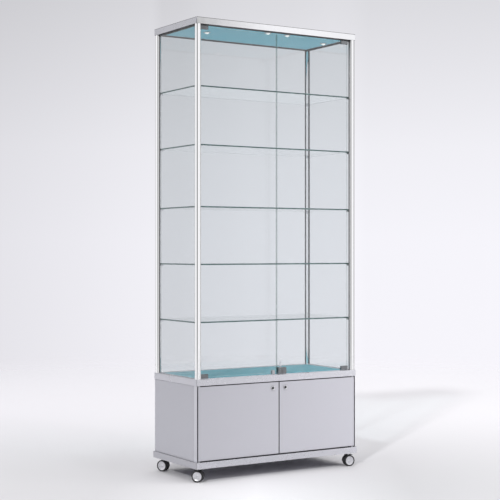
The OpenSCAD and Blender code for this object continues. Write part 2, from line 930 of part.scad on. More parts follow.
// Two cheeks and the pin that the pedal turns on
module pedal_cheeks() {
    cheek = 1;
    translate([trail + pedal_x, 0, wheel_r + pedal_z]) {
        for (y = [-web_t / 2, web_t / 2 - cheek]) {
            rod_y(8, y, y + cheek);
            translate([-pedal_x, y, -4]) cube([pedal_x, cheek, 8]);
        }
        rod_y(pedal_pin_d, -web_t / 2, web_t / 2);
    }
}

// Brake pedal, hub on the pin and tab over the wheels
module pedal() {
    half = web_t / 2 - 1 - play;
    top = wheel_r + hood_gap + hood_t;
    color([0.10, 0.10, 0.11]) difference() {
        union() {
            translate([trail + pedal_x, 0, wheel_r + pedal_z]) rod_y(2 * pedal_hub_r, -half, half);
            translate([trail + pedal_x - 2, -half, wheel_r + pedal_z])
                cube([5, 2 * half, top - pedal_z + 1]);
            translate([trail + pedal_x - 2, 0, wheel_r + top - 1]) rotate([0, 10, 0])
                translate([0, -8, 0]) cube([13, 16, 2.2]);
        }
        translate([trail + pedal_x, 0, wheel_r + pedal_z])
            rod_y(pedal_pin_d + 2 * slip, -web_t, web_t);
    }
}

// Tyres of one wheel pair
module tyres() {
    color([0.13, 0.13, 0.14]) translate([trail, 0, wheel_r]) for (s = [0, 1]) mirror([0, s, 0])
        translate([0, wheel_in, 0]) rotate([-90, 0, 0]) rotate_extrude()
            polygon([[hub_r, 0], [wheel_r - 1, 0], [wheel_r, 1], [wheel_r, wheel_w - 2],
                     [wheel_r - 2, wheel_w], [hub_r, wheel_w]]);
}

// Hubs of one wheel pair, dished inside, on their axle
module hubs() {
    disc = 3;
    rim = 2;
    color("silver") translate([trail, 0, wheel_r]) {
        rod_y(axle_d, -wheel_out + 1, wheel_out - 1);
        for (s = [0, 1]) mirror([0, s, 0]) translate([0, wheel_in, 0]) rotate([-90, 0, 0])
            rotate_extrude() polygon([[0, wheel_w - 1], [hub_r - 1, wheel_w - 1],
                                      [hub_r, wheel_w - 2], [hub_r, 0], [hub_r - rim, 0],
                                      [hub_r - rim, wheel_w - 1 - disc], [5, wheel_w - 1 - disc],
                                      [5, 0.5], [0, 0.5]]);
    }
}

// Turns a castor's moving parts on its own corner
module castor(right, back, turn) {
    x = body_w / 2 - castor_inset_x;
    y = body_d / 2 - (back ? castor_inset_back : castor_inset_front);
    translate([right ? x : -x, back ? y : -y, 0]) rotate([0, 0, turn]) children();
}

module castor_fl() { castor(false, false, castor_fl_turn) children(); }
module castor_fr() { castor(true, false, castor_fr_turn) children(); }
module castor_bl() { castor(false, true, castor_bl_turn) children(); }
module castor_br() { castor(true, true, castor_br_turn) children(); }

module castor_fl_hood() { castor_fl() hood(true); }
module castor_fr_hood() { castor_fr() hood(true); }
module castor_bl_hood() { castor_bl() hood(false); }
module castor_br_hood() { castor_br() hood(false); }
module castor_fl_tyres() { castor_fl() tyres(); }
module castor_fr_tyres() { castor_fr() tyres(); }
module castor_bl_tyres() { castor_bl() tyres(); }
module castor_br_tyres() { castor_br() tyres(); }
module castor_fl_hubs() { castor_fl() hubs(); }
module castor_fr_hubs() { castor_fr() hubs(); }
module castor_bl_hubs() { castor_bl() hubs(); }
module castor_br_hubs() { castor_br() hubs(); }
module brake_pedal_fl() { castor_fl() pedal(); }
module brake_pedal_fr() { castor_fr() pedal(); }

base_frame_rails();
mid_frame_rails();
top_frame_rails();
frame_fixings();
post_front_left();
post_front_right();
post_back_left();
post_back_right();
side_glass_left();
side_glass_right();
back_glass();
glazing_seals();
shelf_1();
shelf_2();
shelf_3();
shelf_4();
shelf_5();
shelf_supports();
display_floor();
ceiling_panel();
roof_panel();
downlights();
downlight_lenses();
led_driver();
power_inlet();
light_wires();
glass_door_left();
glass_door_right();
glass_door_left_clamps();
glass_door_right_clamps();
glass_lock_body();
glass_lock_plug();
glass_lock_strike();
door_pivot_pins();
cabinet_side_left();
cabinet_side_right();
cabinet_back();
cabinet_floor();
cabinet_edge_trims();
storage_door_left();
storage_door_right();
storage_lock_left_body();
storage_lock_right_body();
storage_lock_left_plug();
storage_lock_right_plug();
castor_plates();
castor_fl_hood();
castor_fr_hood();
castor_bl_hood();
castor_br_hood();
castor_fl_tyres();
castor_fr_tyres();
castor_bl_tyres();
castor_br_tyres();
castor_fl_hubs();
castor_fr_hubs();
castor_bl_hubs();
castor_br_hubs();
brake_pedal_fl();
brake_pedal_fr();
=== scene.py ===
# %% [markdown]
# # A glazed display cabinet on castors
# The measured frame of the cabinet is loaded first. It already knows where every rail, pane
# and pin is, so each step below asks it for a place and puts a finished piece there.

# %% Load the measured frame
import json
from contextlib import contextmanager
from math import asin, atan2, cos, pi, radians, sin

import bmesh
import bpy
from mathutils import Matrix, Vector


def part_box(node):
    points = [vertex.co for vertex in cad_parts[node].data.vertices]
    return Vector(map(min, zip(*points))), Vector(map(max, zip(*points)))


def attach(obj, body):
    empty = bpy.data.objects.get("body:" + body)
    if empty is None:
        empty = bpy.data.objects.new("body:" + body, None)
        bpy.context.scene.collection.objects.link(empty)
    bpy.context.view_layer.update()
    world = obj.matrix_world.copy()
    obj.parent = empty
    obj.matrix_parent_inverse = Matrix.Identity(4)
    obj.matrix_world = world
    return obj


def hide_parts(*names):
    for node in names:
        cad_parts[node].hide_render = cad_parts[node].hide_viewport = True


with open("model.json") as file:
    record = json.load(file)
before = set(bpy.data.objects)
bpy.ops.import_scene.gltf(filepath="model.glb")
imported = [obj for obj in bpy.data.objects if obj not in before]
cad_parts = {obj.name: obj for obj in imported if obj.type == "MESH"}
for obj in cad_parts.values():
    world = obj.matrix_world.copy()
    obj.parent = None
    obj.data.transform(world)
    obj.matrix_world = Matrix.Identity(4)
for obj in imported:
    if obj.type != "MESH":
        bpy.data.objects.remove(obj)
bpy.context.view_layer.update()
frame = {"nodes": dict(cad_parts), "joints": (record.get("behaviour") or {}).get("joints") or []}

nodes = frame["nodes"]

# %% [markdown]
# ## Camera
# The picture is taken from well in front and to the left, with the lens held level at half the
# cabinet's height. A level camera keeps the posts upright. A long lens, about 91 mm, keeps
# the perspective calm, as in a shop catalogue. The directions ahead of the camera and to its
# right are kept, because the floor and the surround are shaded along them.

# %% Place the camera
ahead = Vector((0.5337, 0.8457, 0.0))
rightward = Vector((0.8457, -0.5337, 0.0))
bpy.ops.object.camera_add(location=(-3.0768, -4.8238, 0.9907))
camera = bpy.context.active_object
camera.name = "Camera"
camera.rotation_euler = ahead.to_track_quat("-Z", "Y").to_euler()
camera.data.sensor_width = 36
camera.data.lens = 90.77
camera.data.clip_end = 500
bpy.context.scene.camera = camera
print("camera", tuple(round(v, 3) for v in camera.location))

# %% [markdown]
# ## Tools for shaping
# Every piece starts as a primitive at its size and place. It is then shaped in edit mode, and
# its edges are rounded last. A rounded edge catches a thin line of light, which is how the eye
# tells a real rail from a drawn one. These few helpers keep the later steps short. Cutters
# reach a little past what they cut, so that no thin skin is left.

# %% Start a block between two corners
past = 0.01


def only(piece):
    """Select one piece and make it the active one."""
    bpy.ops.object.select_all(action="DESELECT")
    piece.select_set(True)
    bpy.context.view_layer.objects.active = piece


def settle(piece):
    """Put the piece's place, turn and scale into its mesh."""
    only(piece)
    bpy.ops.object.transform_apply(location=True, rotation=True, scale=True)


def block(name, low, high):
    """A block between two corners."""
    low, high = Vector(low), Vector(high)
    bpy.ops.object.select_all(action="DESELECT")
    bpy.ops.mesh.primitive_cube_add(size=1, location=(low + high) / 2)
    piece = bpy.context.active_object
    piece.name = name
    piece.scale = high - low
    settle(piece)
    return piece


def centre(node):
    """The middle of a node's box."""
    return [(low + high) / 2 for low, high in zip(*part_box(node))]


# %% Work in edit mode on chosen parts
@contextmanager
def editing(piece):
    """Edit mode with nothing selected, for as long as the block lasts."""
    only(piece)
    bpy.ops.object.mode_set(mode="EDIT")
    bpy.ops.mesh.select_all(action="DESELECT")
    yield
    bpy.ops.object.mode_set(mode="OBJECT")


def pick(piece, kind, test):
    """Select faces by their middle and normal, or edges by their middle and direction."""
    bpy.ops.mesh.select_mode(type=kind)
    bpy.ops.mesh.select_all(action="DESELECT")
    mesh = bmesh.from_edit_mesh(piece.data)
    for part in mesh.edges if kind == "EDGE" else mesh.faces:
        if kind == "EDGE":
            middle = (part.verts[0].co + part.verts[1].co) / 2
            way = (part.verts[1].co - part.verts[0].co).normalized()
        else:
            middle, way = part.calc_center_median(), part.normal
        if test(middle, way):
            part.select_set(True)
    mesh.select_flush_mode()
    bmesh.update_edit_mesh(piece.data)


def pull(x=0.0, y=0.0, z=0.0):
    """Extrude what is selected along a vector."""
    bpy.ops.mesh.extrude_region_move(TRANSFORM_OT_translate={"value": (x, y, z)})


def slice_at(place, normal, drop=None):
    """Cut the whole mesh at a plane; drop names the side that goes, and the cut is closed."""
    bpy.ops.mesh.select_all(action="SELECT")
    bpy.ops.mesh.bisect(plane_co=place, plane_no=normal, use_fill=drop is not None,
                        clear_inner=drop == "behind", clear_outer=drop == "ahead")


def round_edges(piece, radius, segments, test):
    """Round only the edges that pass the test."""
    with editing(piece):
        pick(piece, "EDGE", test)
        bpy.ops.mesh.bevel(offset=radius, segments=segments, affect="EDGES")


# %% Round the edges and shade the piece
def soften(piece, width, segments=2, limit=35):
    """Round every edge sharper than the limit, and keep the flat faces flat in the light."""
    only(piece)
    if width:
        bevel = piece.modifiers.new("Rounded edges", "BEVEL")
        bevel.width = width
        bevel.segments = segments
        bevel.limit_method = "ANGLE"
        bevel.angle_limit = radians(limit)
        bevel.use_clamp_overlap = True
        bpy.ops.object.modifier_apply(modifier=bevel.name)
    bpy.ops.object.shade_smooth()
    weights = piece.modifiers.new("Even shading", "WEIGHTED_NORMAL")
    weights.weight = 100
    bpy.ops.object.modifier_apply(modifier=weights.name)
    return piece


# %% Join, copy, raise, turn and mirror pieces
def join(name, pieces):
    """Make several pieces one."""
    bpy.ops.object.select_all(action="DESELECT")
    for piece in pieces:
        piece.select_set(True)
    bpy.context.view_layer.objects.active = pieces[0]
    bpy.ops.object.join()
    pieces[0].name = name
    return pieces[0]


def twin(piece, name):
    """A copy with its own mesh."""
    copy = piece.copy()
    copy.data = piece.data.copy()
    copy.name = name
    bpy.context.scene.collection.objects.link(copy)
    return copy


def raised(piece, rise, name):
    """A copy moved straight up."""
    copy = twin(piece, name)
    copy.location.z = rise
    settle(copy)
    return copy


def turned(piece, degrees, name):
    """A copy turned about the upright axis in the middle of the cabinet."""
    copy = twin(piece, name)
    copy.matrix_world = Matrix.Rotation(radians(degrees), 4, "Z")
    settle(copy)
    return copy


def mirrored(piece, axis, middle, name):
    """A copy mirrored at a plane square to the axis, with its faces turned out again."""
    copy = twin(piece, name)
    side = Vector((0, 0, 0))
    side["xyz".index(axis)] = 1
    spot = Matrix.Translation(side * middle)
    copy.matrix_world = spot @ Matrix.Scale(-1, 4, side) @ spot.inverted()
    settle(copy)
    with editing(copy):
        bpy.ops.mesh.select_all(action="SELECT")
        bpy.ops.mesh.normals_make_consistent(inside=False)
    return soften(copy, 0)


# %% Take one shape out of another
def carve(piece, *cutters):
    """Take each cutter out of the piece and delete the cutter."""
    for cutter in cutters:
        only(piece)
        cut = piece.modifiers.new("Cut", "BOOLEAN")
        cut.operation = "DIFFERENCE"
        cut.solver = "EXACT"
        cut.object = cutter
        bpy.ops.object.modifier_apply(modifier=cut.name)
        bpy.data.objects.remove(cutter)
    return piece


# %% Turn a round part on a lathe
def lathe(name, points, steps=48):
    """Spin a chain of (radius, height) points about the upright axis."""
    bpy.ops.object.select_all(action="DESELECT")
    bpy.ops.mesh.primitive_plane_add(size=0.001, location=(0, 0, 0))
    piece = bpy.context.active_object
    piece.name = name
    with editing(piece):
        bpy.ops.mesh.select_mode(type="VERT")
        bpy.ops.mesh.select_all(action="SELECT")
        bpy.ops.mesh.merge(type="CENTER")
        bpy.ops.mesh.select_all(action="SELECT")
        bpy.ops.transform.translate(value=(points[0][0], 0, points[0][1]))
        for (r0, z0), (r1, z1) in zip(points, points[1:]):
            pull(r1 - r0, 0, z1 - z0)
        bpy.ops.mesh.select_all(action="SELECT")
        bpy.ops.mesh.spin(steps=steps, angle=2 * pi, center=(0, 0, 0), axis=(0, 0, 1))
        bpy.ops.mesh.select_all(action="SELECT")
        bpy.ops.mesh.remove_doubles(threshold=0.00001)
        bpy.ops.mesh.normals_make_consistent(inside=False)
    return piece


def stand(piece, place, facing="+Z"):
    """Point a lathe part's axis along facing and put it in its place."""
    tilt = {"+Z": 0, "-Y": pi / 2, "+Y": -pi / 2}[facing]
    piece.rotation_euler = (tilt, 0, 0)
    settle(piece)
    piece.location = place
    settle(piece)
    return piece


# %% Hand a finished piece to its body
def paint(piece, *finishes):
    """Give the piece these materials and no others."""
    piece.data.materials.clear()
    for finish in finishes:
        piece.data.materials.append(finish)


def deliver(piece, body, node, finish=None):
    """Let the piece ride on its body and hide the node that it replaces."""
    if finish is not None:
        paint(piece, finish)
    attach(piece, body)
    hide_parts(node)
    print(piece.name, len(piece.data.polygons), "faces, rides on", body)
    return piece


# %% [markdown]
# ## Finishes
# The real cabinet has few finishes: satin anodised aluminium, clear glass with ground edges,
# light grey laminate, blue-grey laminate, chrome and black plastic. Three effects turn up in
# several of them, so each is a node group that is built once: the fine lines of drawn metal,
# the cloudy film of handling, and the grain of a pressed surface.

# %% Helpers for node trees
def new_group(name, inputs, outputs):
    """An empty node group with named number inputs and outputs."""
    group = bpy.data.node_groups.new(name, "ShaderNodeTree")
    for label, value in inputs:
        socket = group.interface.new_socket(label, in_out="INPUT", socket_type="NodeSocketFloat")
        socket.default_value = value
    for label in outputs:
        group.interface.new_socket(label, in_out="OUTPUT", socket_type="NodeSocketFloat")
    start = group.nodes.new("NodeGroupInput")
    end = group.nodes.new("NodeGroupOutput")
    return group, start, end


def fill(tree, node, values):
    """Set a node's numbers and colours, and connect what feeds it."""
    for key, value in values.items():
        socket = node.inputs[key]
        if isinstance(value, bpy.types.NodeSocket):
            tree.links.new(value, socket)
        else:
            socket.default_value = value
    return node


def add(tree, kind, values=None, **settings):
    """A new node with its settings and its values."""
    node = tree.nodes.new(kind)
    for key, value in settings.items():
        setattr(node, key, value)
    return fill(tree, node, values or {})


# %% Helpers for places and numbers
def object_place(tree):
    """Where a point lies on the piece's own axes, in metres."""
    return add(tree, "ShaderNodeTexCoord").outputs["Object"]


def maths(tree, kind, first, second):
    """Work out one value from two."""
    return add(tree, "ShaderNodeMath", {0: first, 1: second}, operation=kind).outputs[0]


def ranged(tree, source, low=0.0, high=1.0, start=0.0, end=1.0, **settings):
    """Map a value between two limits to another range."""
    return add(tree, "ShaderNodeMapRange", {"Value": source, "From Min": low, "From Max": high,
                                            "To Min": start, "To Max": end}, **settings).outputs[0]


# %% [markdown]
# ### Drawn lines
# An extruded rail has faint lines along its length, left by the die. Noise that is stretched
# about 250 times along one axis looks the same. The group gives one value for bump and for
# roughness, and each material says how it is stretched.

# %% Build the group for drawn lines
drawn_lines, start, end = new_group(
    "Drawn lines", [("Across X", 1.0), ("Across Y", 1.0), ("Across Z", 1.0)], ["Line"])
stretch = add(drawn_lines, "ShaderNodeCombineXYZ", {
    0: start.outputs["Across X"], 1: start.outputs["Across Y"], 2: start.outputs["Across Z"]})
spread = add(drawn_lines, "ShaderNodeVectorMath", {
    0: object_place(drawn_lines), 1: stretch.outputs[0]}, operation="MULTIPLY")
lines = add(drawn_lines, "ShaderNodeTexNoise", {
    "Vector": spread.outputs[0], "Scale": 1.0, "Detail": 3.0, "Roughness": 0.6})
drawn_lines.links.new(lines.outputs["Fac"], end.inputs["Line"])
print("group", drawn_lines.name)

# %% [markdown]
# ### Handling film
# Anything that is touched or wiped is a little uneven in its gloss. Two sizes of soft noise,
# multiplied, give clouds with clear gaps between them.

# %% Build the group for handling film
handling, start, end = new_group("Handling film", [("Size", 8.0)], ["Film"])
place = object_place(handling)
broad = add(handling, "ShaderNodeTexNoise", {
    "Vector": place, "Scale": start.outputs["Size"], "Detail": 4.0, "Roughness": 0.55})
small = add(handling, "ShaderNodeTexNoise", {
    "Vector": place, "Scale": maths(handling, "MULTIPLY", start.outputs["Size"], 6.3),
    "Detail": 2.0})
both = maths(handling, "MULTIPLY", broad.outputs["Fac"], small.outputs["Fac"])
handling.links.new(ranged(handling, both, 0.15, 0.38), end.inputs["Film"])
print("group", handling.name)

# %% [markdown]
# ### Pressed grain
# Laminate and moulded plastic carry a very fine pressed texture. It is a dense noise for the
# bump, and the same noise, made harder, gives tiny pearly specks.

# %% Build the group for pressed grain
pressed, start, end = new_group("Pressed grain", [("Grain", 900.0)], ["Height", "Speck"])
grain = add(pressed, "ShaderNodeTexNoise", {
    "Vector": object_place(pressed), "Scale": start.outputs["Grain"], "Detail": 2.0,
    "Roughness": 0.5}).outputs["Fac"]
pressed.links.new(grain, end.inputs["Height"])
pressed.links.new(ranged(pressed, grain, 0.42, 0.68), end.inputs["Speck"])
print("group", pressed.name)


# %% Helpers for materials
def new_material(name):
    """A material with only its Principled shader and its output."""
    material = bpy.data.materials.new(name)
    material.use_nodes = True
    tree = material.node_tree
    tree.nodes.clear()
    shader = tree.nodes.new("ShaderNodeBsdfPrincipled")
    output = tree.nodes.new("ShaderNodeOutputMaterial")
    tree.links.new(shader.outputs[0], output.inputs["Surface"])
    return material, tree, shader


def use(tree, group, **values):
    """Place a shared group in a material and return what it puts out."""
    node = tree.nodes.new("ShaderNodeGroup")
    node.node_tree = group
    fill(tree, node, {key.replace("_", " "): value for key, value in values.items()})
    return node.outputs


def blended(tree, source, first, second):
    """Blend two colours by a value."""
    return add(tree, "ShaderNodeMix", {"Factor": source, "A": first, "B": second},
               data_type="RGBA").outputs["Result"]


def tint(tree, source, dark, light):
    """Blend two plain colours by a value."""
    return blended(tree, source, (*dark, 1), (*light, 1))


def scaled(tree, colour, factor):
    """A colour multiplied by a value."""
    return add(tree, "ShaderNodeVectorMath", {0: colour, "Scale": factor},
               operation="SCALE").outputs[0]


def painted_light_drift(tree, colour, start, end, reach=0.42):
    """Painted light: a colour whose lightness changes from the left end of the cabinet to the right
    end, as light falls across it.
    """
    split = add(tree, "ShaderNodeSeparateXYZ", {0: object_place(tree)})
    return scaled(tree, colour, ranged(tree, split.outputs["X"], -reach, reach, start, end))


def bumped(tree, shader, source, distance, strength=0.3):
    """Feed a height into the shader's normal."""
    bump = add(tree, "ShaderNodeBump", {"Height": source, "Distance": distance,
                                        "Strength": strength})
    tree.links.new(bump.outputs[0], shader.inputs["Normal"])


# %% [markdown]
# ### Satin aluminium
# Anodised rails look pale and soft, never like a mirror. The metal is fully metallic. The drawn
# lines run along each rail, so rails along X, along Y and the upright posts each have their
# own version. The base frame is the dullest, and its colour is darkened as painted shade, most
# on its side rails. The top frame and the posts are painted lighter, as painted highlight. The
# posts and the long rails of the top frame are the smoothest, so that the posts show crisp
# upright streaks. The long rails also carry painted light: they are lighter at one end than at
# the other.

# %% Make the satin aluminium
def satin_aluminium(name, across, rough=0.34, painted_light_tone=1.0, painted_light_ends=(1.0, 1.0)):
    """across is how closely the lines lie along each axis. The brightness factor paints light or
    shade into the colour, and the two end values paint one end lighter than the other.
    """
    material, tree, shader = new_material(name)
    line = use(tree, drawn_lines, Across_X=across[0], Across_Y=across[1],
               Across_Z=across[2])["Line"]
    film = use(tree, handling, Size=5.0)["Film"]
    dark = [min(1.0, painted_light_tone * v) for v in (0.685, 0.685, 0.725)]
    light = [min(1.0, painted_light_tone * v) for v in (0.725, 0.725, 0.77)]
    uneven = maths(tree, "MULTIPLY", line, film)
    fill(tree, shader, {
        "Metallic": 1.0, "Base Color": painted_light_drift(tree, tint(tree, line, dark, light), *painted_light_ends),
        "Roughness": ranged(tree, uneven, start=rough - 0.03, end=rough + 0.08)})
    bumped(tree, shader, line, 0.00003, 0.12)
    return material


close, far_apart = 1500, 6
along_x, along_y = (far_apart, close, close), (close, far_apart, close)
# Painted light and shade: the brightness factors make the top frame and the posts lighter and the
# base frame darker, and the end values paint one end of each long rail lighter.
rail_along_x = satin_aluminium("Satin aluminium along X", along_x, 0.26, 1.04, (0.92, 1.08))
base_along_x = satin_aluminium("Shaded dull aluminium along X", along_x, 0.28, 0.94, (0.88, 1.10))
rail_along_y = satin_aluminium("Satin aluminium along Y", along_y, 0.30)
base_along_y = satin_aluminium("Shaded dull aluminium along Y", along_y, 0.34, 0.81)
top_along_x = satin_aluminium("Highlit aluminium along X", along_x, 0.10, 1.42, (1.015, 0.905))
top_along_y = satin_aluminium("Highlit aluminium along Y", along_y, 0.28, 1.08)
post_metal = satin_aluminium("Highlit satin aluminium upright", (close, close, 5), 0.11, 1.45)
trim_metal = satin_aluminium("Satin aluminium trim", (close, close, far_apart))
print("satin aluminium made")


# %% [markdown]
# ### Glass
# Clear toughened glass has a hint of green that is deepest where one looks in through an edge.
# Each pane has two materials: a nearly clear one for its faces, and a darker, slightly rough
# one for the ground edges. Lamps and soft light shine through the faces with the help of a
# plain see-through shader, so that the floor and the ceiling behind the glass are lit. That
# light is tinted by a colour of its own, because it crosses both faces of a pane.

# %% Make the clear glass
glass_bend = 1.45


def clear_glass(name, colour, passing):
    """colour tints what is seen through the glass, passing the light that falls through it."""
    material, tree, shader = new_material(name)
    fill(tree, shader, {"Base Color": (*colour, 1), "Roughness": 0.0, "IOR": glass_bend,
                        "Specular IOR Level": 0.2, "Transmission Weight": 1.0})
    open_way = add(tree, "ShaderNodeBsdfTransparent", {"Color": (*passing, 1)})
    rays = add(tree, "ShaderNodeLightPath").outputs
    soft = maths(tree, "MAXIMUM", rays["Is Shadow Ray"], rays["Is Diffuse Ray"])
    choice = add(tree, "ShaderNodeMixShader", {
        0: soft, 1: shader.outputs[0], 2: open_way.outputs[0]})
    output = [n for n in tree.nodes if n.type == "OUTPUT_MATERIAL"][0]
    tree.links.new(choice.outputs[0], output.inputs["Surface"])
    return material


pane_face = clear_glass("Clear glass", (0.868, 0.888, 0.892), (0.915, 0.94, 0.94))
shelf_face = clear_glass("Shelf glass", (0.925, 0.965, 0.955), (0.925, 0.965, 0.955))
print("clear glass made")


# %% Make the ground edge of the glass
def ground_edge(name, dark, light):
    material, tree, shader = new_material(name)
    film = use(tree, handling, Size=60.0)["Film"]
    fill(tree, shader, {"Base Color": tint(tree, film, dark, light),
                        "Roughness": ranged(tree, film, start=0.18, end=0.34),
                        "IOR": glass_bend, "Transmission Weight": 0.35})
    return material


pane_edge = ground_edge("Ground glass edge", (0.20, 0.33, 0.32), (0.30, 0.45, 0.43))
shelf_edge = ground_edge("Ground shelf edge", (0.09, 0.17, 0.17), (0.15, 0.26, 0.25))
print("ground edges made")


# %% [markdown]
# ### Laminates
# The cupboard is board with a light grey laminate that has a faint pearl in it. Its sides and
# back get a darker copy of it, which is painted shade. Its doors have a dark edge band, whose
# near-black also paints the shade in the door gaps. The floor of the glazed part is a smoother
# blue-grey, and the ceiling, which gets less light, is painted a lighter blue as painted light.
# The doors, the blue floor and the ceiling are also painted lighter towards their right ends.
# All are dielectric, with the pressed grain in the bump and the film of handling in the
# roughness.

# %% Make the laminates
def laminate(name, dark, light, rough, grain, depth, painted_light_ends=(1.0, 1.0), gloss=0.5):
    material, tree, shader = new_material(name)
    fine = use(tree, pressed, Grain=grain)
    film = use(tree, handling, Size=7.0)["Film"]
    colour = tint(tree, fine["Speck"], dark, light)
    fill(tree, shader, {"Base Color": painted_light_drift(tree, colour, *painted_light_ends),
                        "Roughness": ranged(tree, film, 0, 1, *rough),
                        "Specular IOR Level": gloss})
    bumped(tree, shader, fine["Height"], depth)
    return material


# Painted light: the door laminate is painted lighter towards the right end.
grey_laminate = laminate("Light grey laminate", (0.565, 0.562, 0.615), (0.635, 0.632, 0.685),
                         (0.30, 0.42), 1400, 0.00006, painted_light_ends=(0.805, 1.0))
# Painted shade: the sides and the back get a darker copy of the grey laminate.
shaded_side_laminate = laminate("Shaded grey side laminate", (0.482, 0.483, 0.53), (0.55, 0.551, 0.60),
                         (0.30, 0.42), 1400, 0.00006)
edge_band = laminate("Light grey edge band", (0.46, 0.46, 0.51), (0.52, 0.52, 0.57),
                     (0.40, 0.50), 1400, 0.00006)
# The near-black of this edge band also paints the shade in the door gaps.
dark_band_and_gap_shade = laminate("Dark edge band and gap shade", (0.045, 0.045, 0.052), (0.065, 0.065, 0.074),
                     (0.50, 0.60), 1400, 0.00006, gloss=0.15)
# Painted light: the blue floor and the ceiling are painted lighter towards the right end.
blue_laminate = laminate("Blue grey laminate", (0.135, 0.365, 0.445), (0.155, 0.39, 0.47),
                         (0.35, 0.50), 1100, 0.00003, painted_light_ends=(0.90, 1.14), gloss=0.03)
# Painted light: the ceiling laminate is painted a lighter blue to make up for the light it lacks.
brightened_ceiling_laminate = laminate("Brightened blue ceiling laminate", (0.318, 0.69, 0.825), (0.343, 0.73, 0.865),
                            (0.35, 0.50), 1100, 0.00003, painted_light_ends=(0.98, 1.06), gloss=0.03)
roof_paint = laminate("Grey roof paint", (0.50, 0.51, 0.54), (0.56, 0.57, 0.60),
                      (0.45, 0.60), 700, 0.0001)
print("laminates made")


# %% [markdown]
# ### Small metal and plastic parts
# Chrome is nearly a mirror with a little film. The clamps and the glass lock are a dark nickel,
# and the plugs of the cupboard locks nearly black. Zinc plated steel is duller. The castors are
# black moulded plastic with soft black treads and hubs painted silver. The lenses of the lamps
# are milky and glow a little.

# %% Make chrome and steel
def plated(name, colour, rough, size):
    material, tree, shader = new_material(name)
    film = use(tree, handling, Size=size)["Film"]
    fill(tree, shader, {"Metallic": 1.0,
                        "Base Color": tint(tree, film, [0.93 * v for v in colour], colour),
                        "Roughness": ranged(tree, film, 0, 1, *rough)})
    return material


chrome = plated("Chrome", (0.74, 0.74, 0.76), (0.05, 0.14), 40.0)
dark_nickel = plated("Dark nickel", (0.24, 0.25, 0.26), (0.12, 0.22), 40.0)
black_nickel = plated("Black nickel", (0.09, 0.09, 0.095), (0.12, 0.22), 40.0)
zinc = plated("Zinc plated steel", (0.55, 0.56, 0.58), (0.28, 0.42), 60.0)
bright_zinc = plated("Bright zinc plate", (0.90, 0.90, 0.92), (0.22, 0.34), 60.0)
hub_silver = plated("Silver painted hub", (0.70, 0.70, 0.73), (0.26, 0.36), 50.0)
print("plated metals made")


# %% Make the plastics and rubber
def moulded(name, colour, rough, grain, depth):
    material, tree, shader = new_material(name)
    fine = use(tree, pressed, Grain=grain)
    film = use(tree, handling, Size=30.0)["Film"]
    fill(tree, shader, {"Base Color": tint(tree, film, colour, [1.25 * v for v in colour]),
                        "Roughness": ranged(tree, film, 0, 1, *rough)})
    bumped(tree, shader, fine["Height"], depth)
    return material


black_plastic = moulded("Black moulded plastic", (0.012, 0.012, 0.014), (0.28, 0.40), 2200,
                        0.00004)
tread = moulded("Black tread", (0.018, 0.018, 0.019), (0.50, 0.65), 1500, 0.0001)
seal_rubber = moulded("Black seal rubber", (0.020, 0.020, 0.022), (0.50, 0.62), 1500, 0.00005)
white_plastic = moulded("White plastic", (0.60, 0.60, 0.59), (0.40, 0.50), 1500, 0.00004)
print("plastics made")

# %% Make the lens
lens_milk, tree, shader = new_material("Milky lens")
film = use(tree, handling, Size=80.0)["Film"]
fill(tree, shader, {"Base Color": tint(tree, film, (0.82, 0.82, 0.80), (0.90, 0.90, 0.88)),
                    "Roughness": ranged(tree, film, start=0.12, end=0.22),
                    "Emission Color": (1.0, 0.99, 0.96, 1), "Emission Strength": 0.65})
print("lens made")

# %% [markdown]
# ## Frame rails
# Three frames hold the cabinet together. Each is four hollow rails that meet in mitres. A rail
# starts as a block as long as its side. The glazing groove is a strip of one face pushed in,
# the ledges that carry the panels are strips of the inner face pulled out, and two slanting
# cuts make the mitres. Rounding comes last, so the mitre shows as a fine line. The rails of
# the top frame have a slot below. Their undersides are painted black as painted shade, and so
# is a fine line along the top of their outer faces, where the roof panel starts.


# %% Shape one rail
rail_deep, mitre_gap, hair = 0.032, 0.0006, 1e-5
groove_from, groove_to, groove_deep = 0.0105, 0.0185, 0.009
ledge_thick, ledge_reach = 0.002, 0.006


def rail(name, length, half, low_z, high_z, groove, ledges, shade_line_width=0.0, cutters=()):
    """A rail along X whose outer face is at y = -half; a line of painted shade of the given width
    runs along its top.
    """
    outer, inner = -half, -half + rail_deep
    piece = block(name, (-length / 2, outer, low_z), (length / 2, inner, high_z))
    with editing(piece):
        if groove:
            g0, g1 = -half + groove_from, -half + groove_to
            slice_at((0, g0, 0), (0, 1, 0))
            slice_at((0, g1, 0), (0, 1, 0))
            face_z = low_z if groove == "below" else high_z
            pick(piece, "FACE", lambda m, n: g0 < m.y < g1 and abs(m.z - face_z) < hair)
            pull(z=groove_deep if groove == "below" else -groove_deep)
        if shade_line_width:
            slice_at((0, 0, high_z - shade_line_width), (0, 0, 1))
        for bottom in ledges:
            slice_at((0, 0, bottom), (0, 0, 1))
            slice_at((0, 0, bottom + ledge_thick), (0, 0, 1))
            pick(piece, "FACE", lambda m, n: n.y > 0.9 and m.y > inner - hair
                 and bottom < m.z < bottom + ledge_thick)
            pull(y=ledge_reach)
        end = length / 2 - mitre_gap - shade_line_width / 2
        slice_at((end, outer, 0), (1, 1, 0), drop="ahead")
        slice_at((-end, outer, 0), (-1, 1, 0), drop="ahead")
    return soften(carve(piece, *cutters), 0.0008)


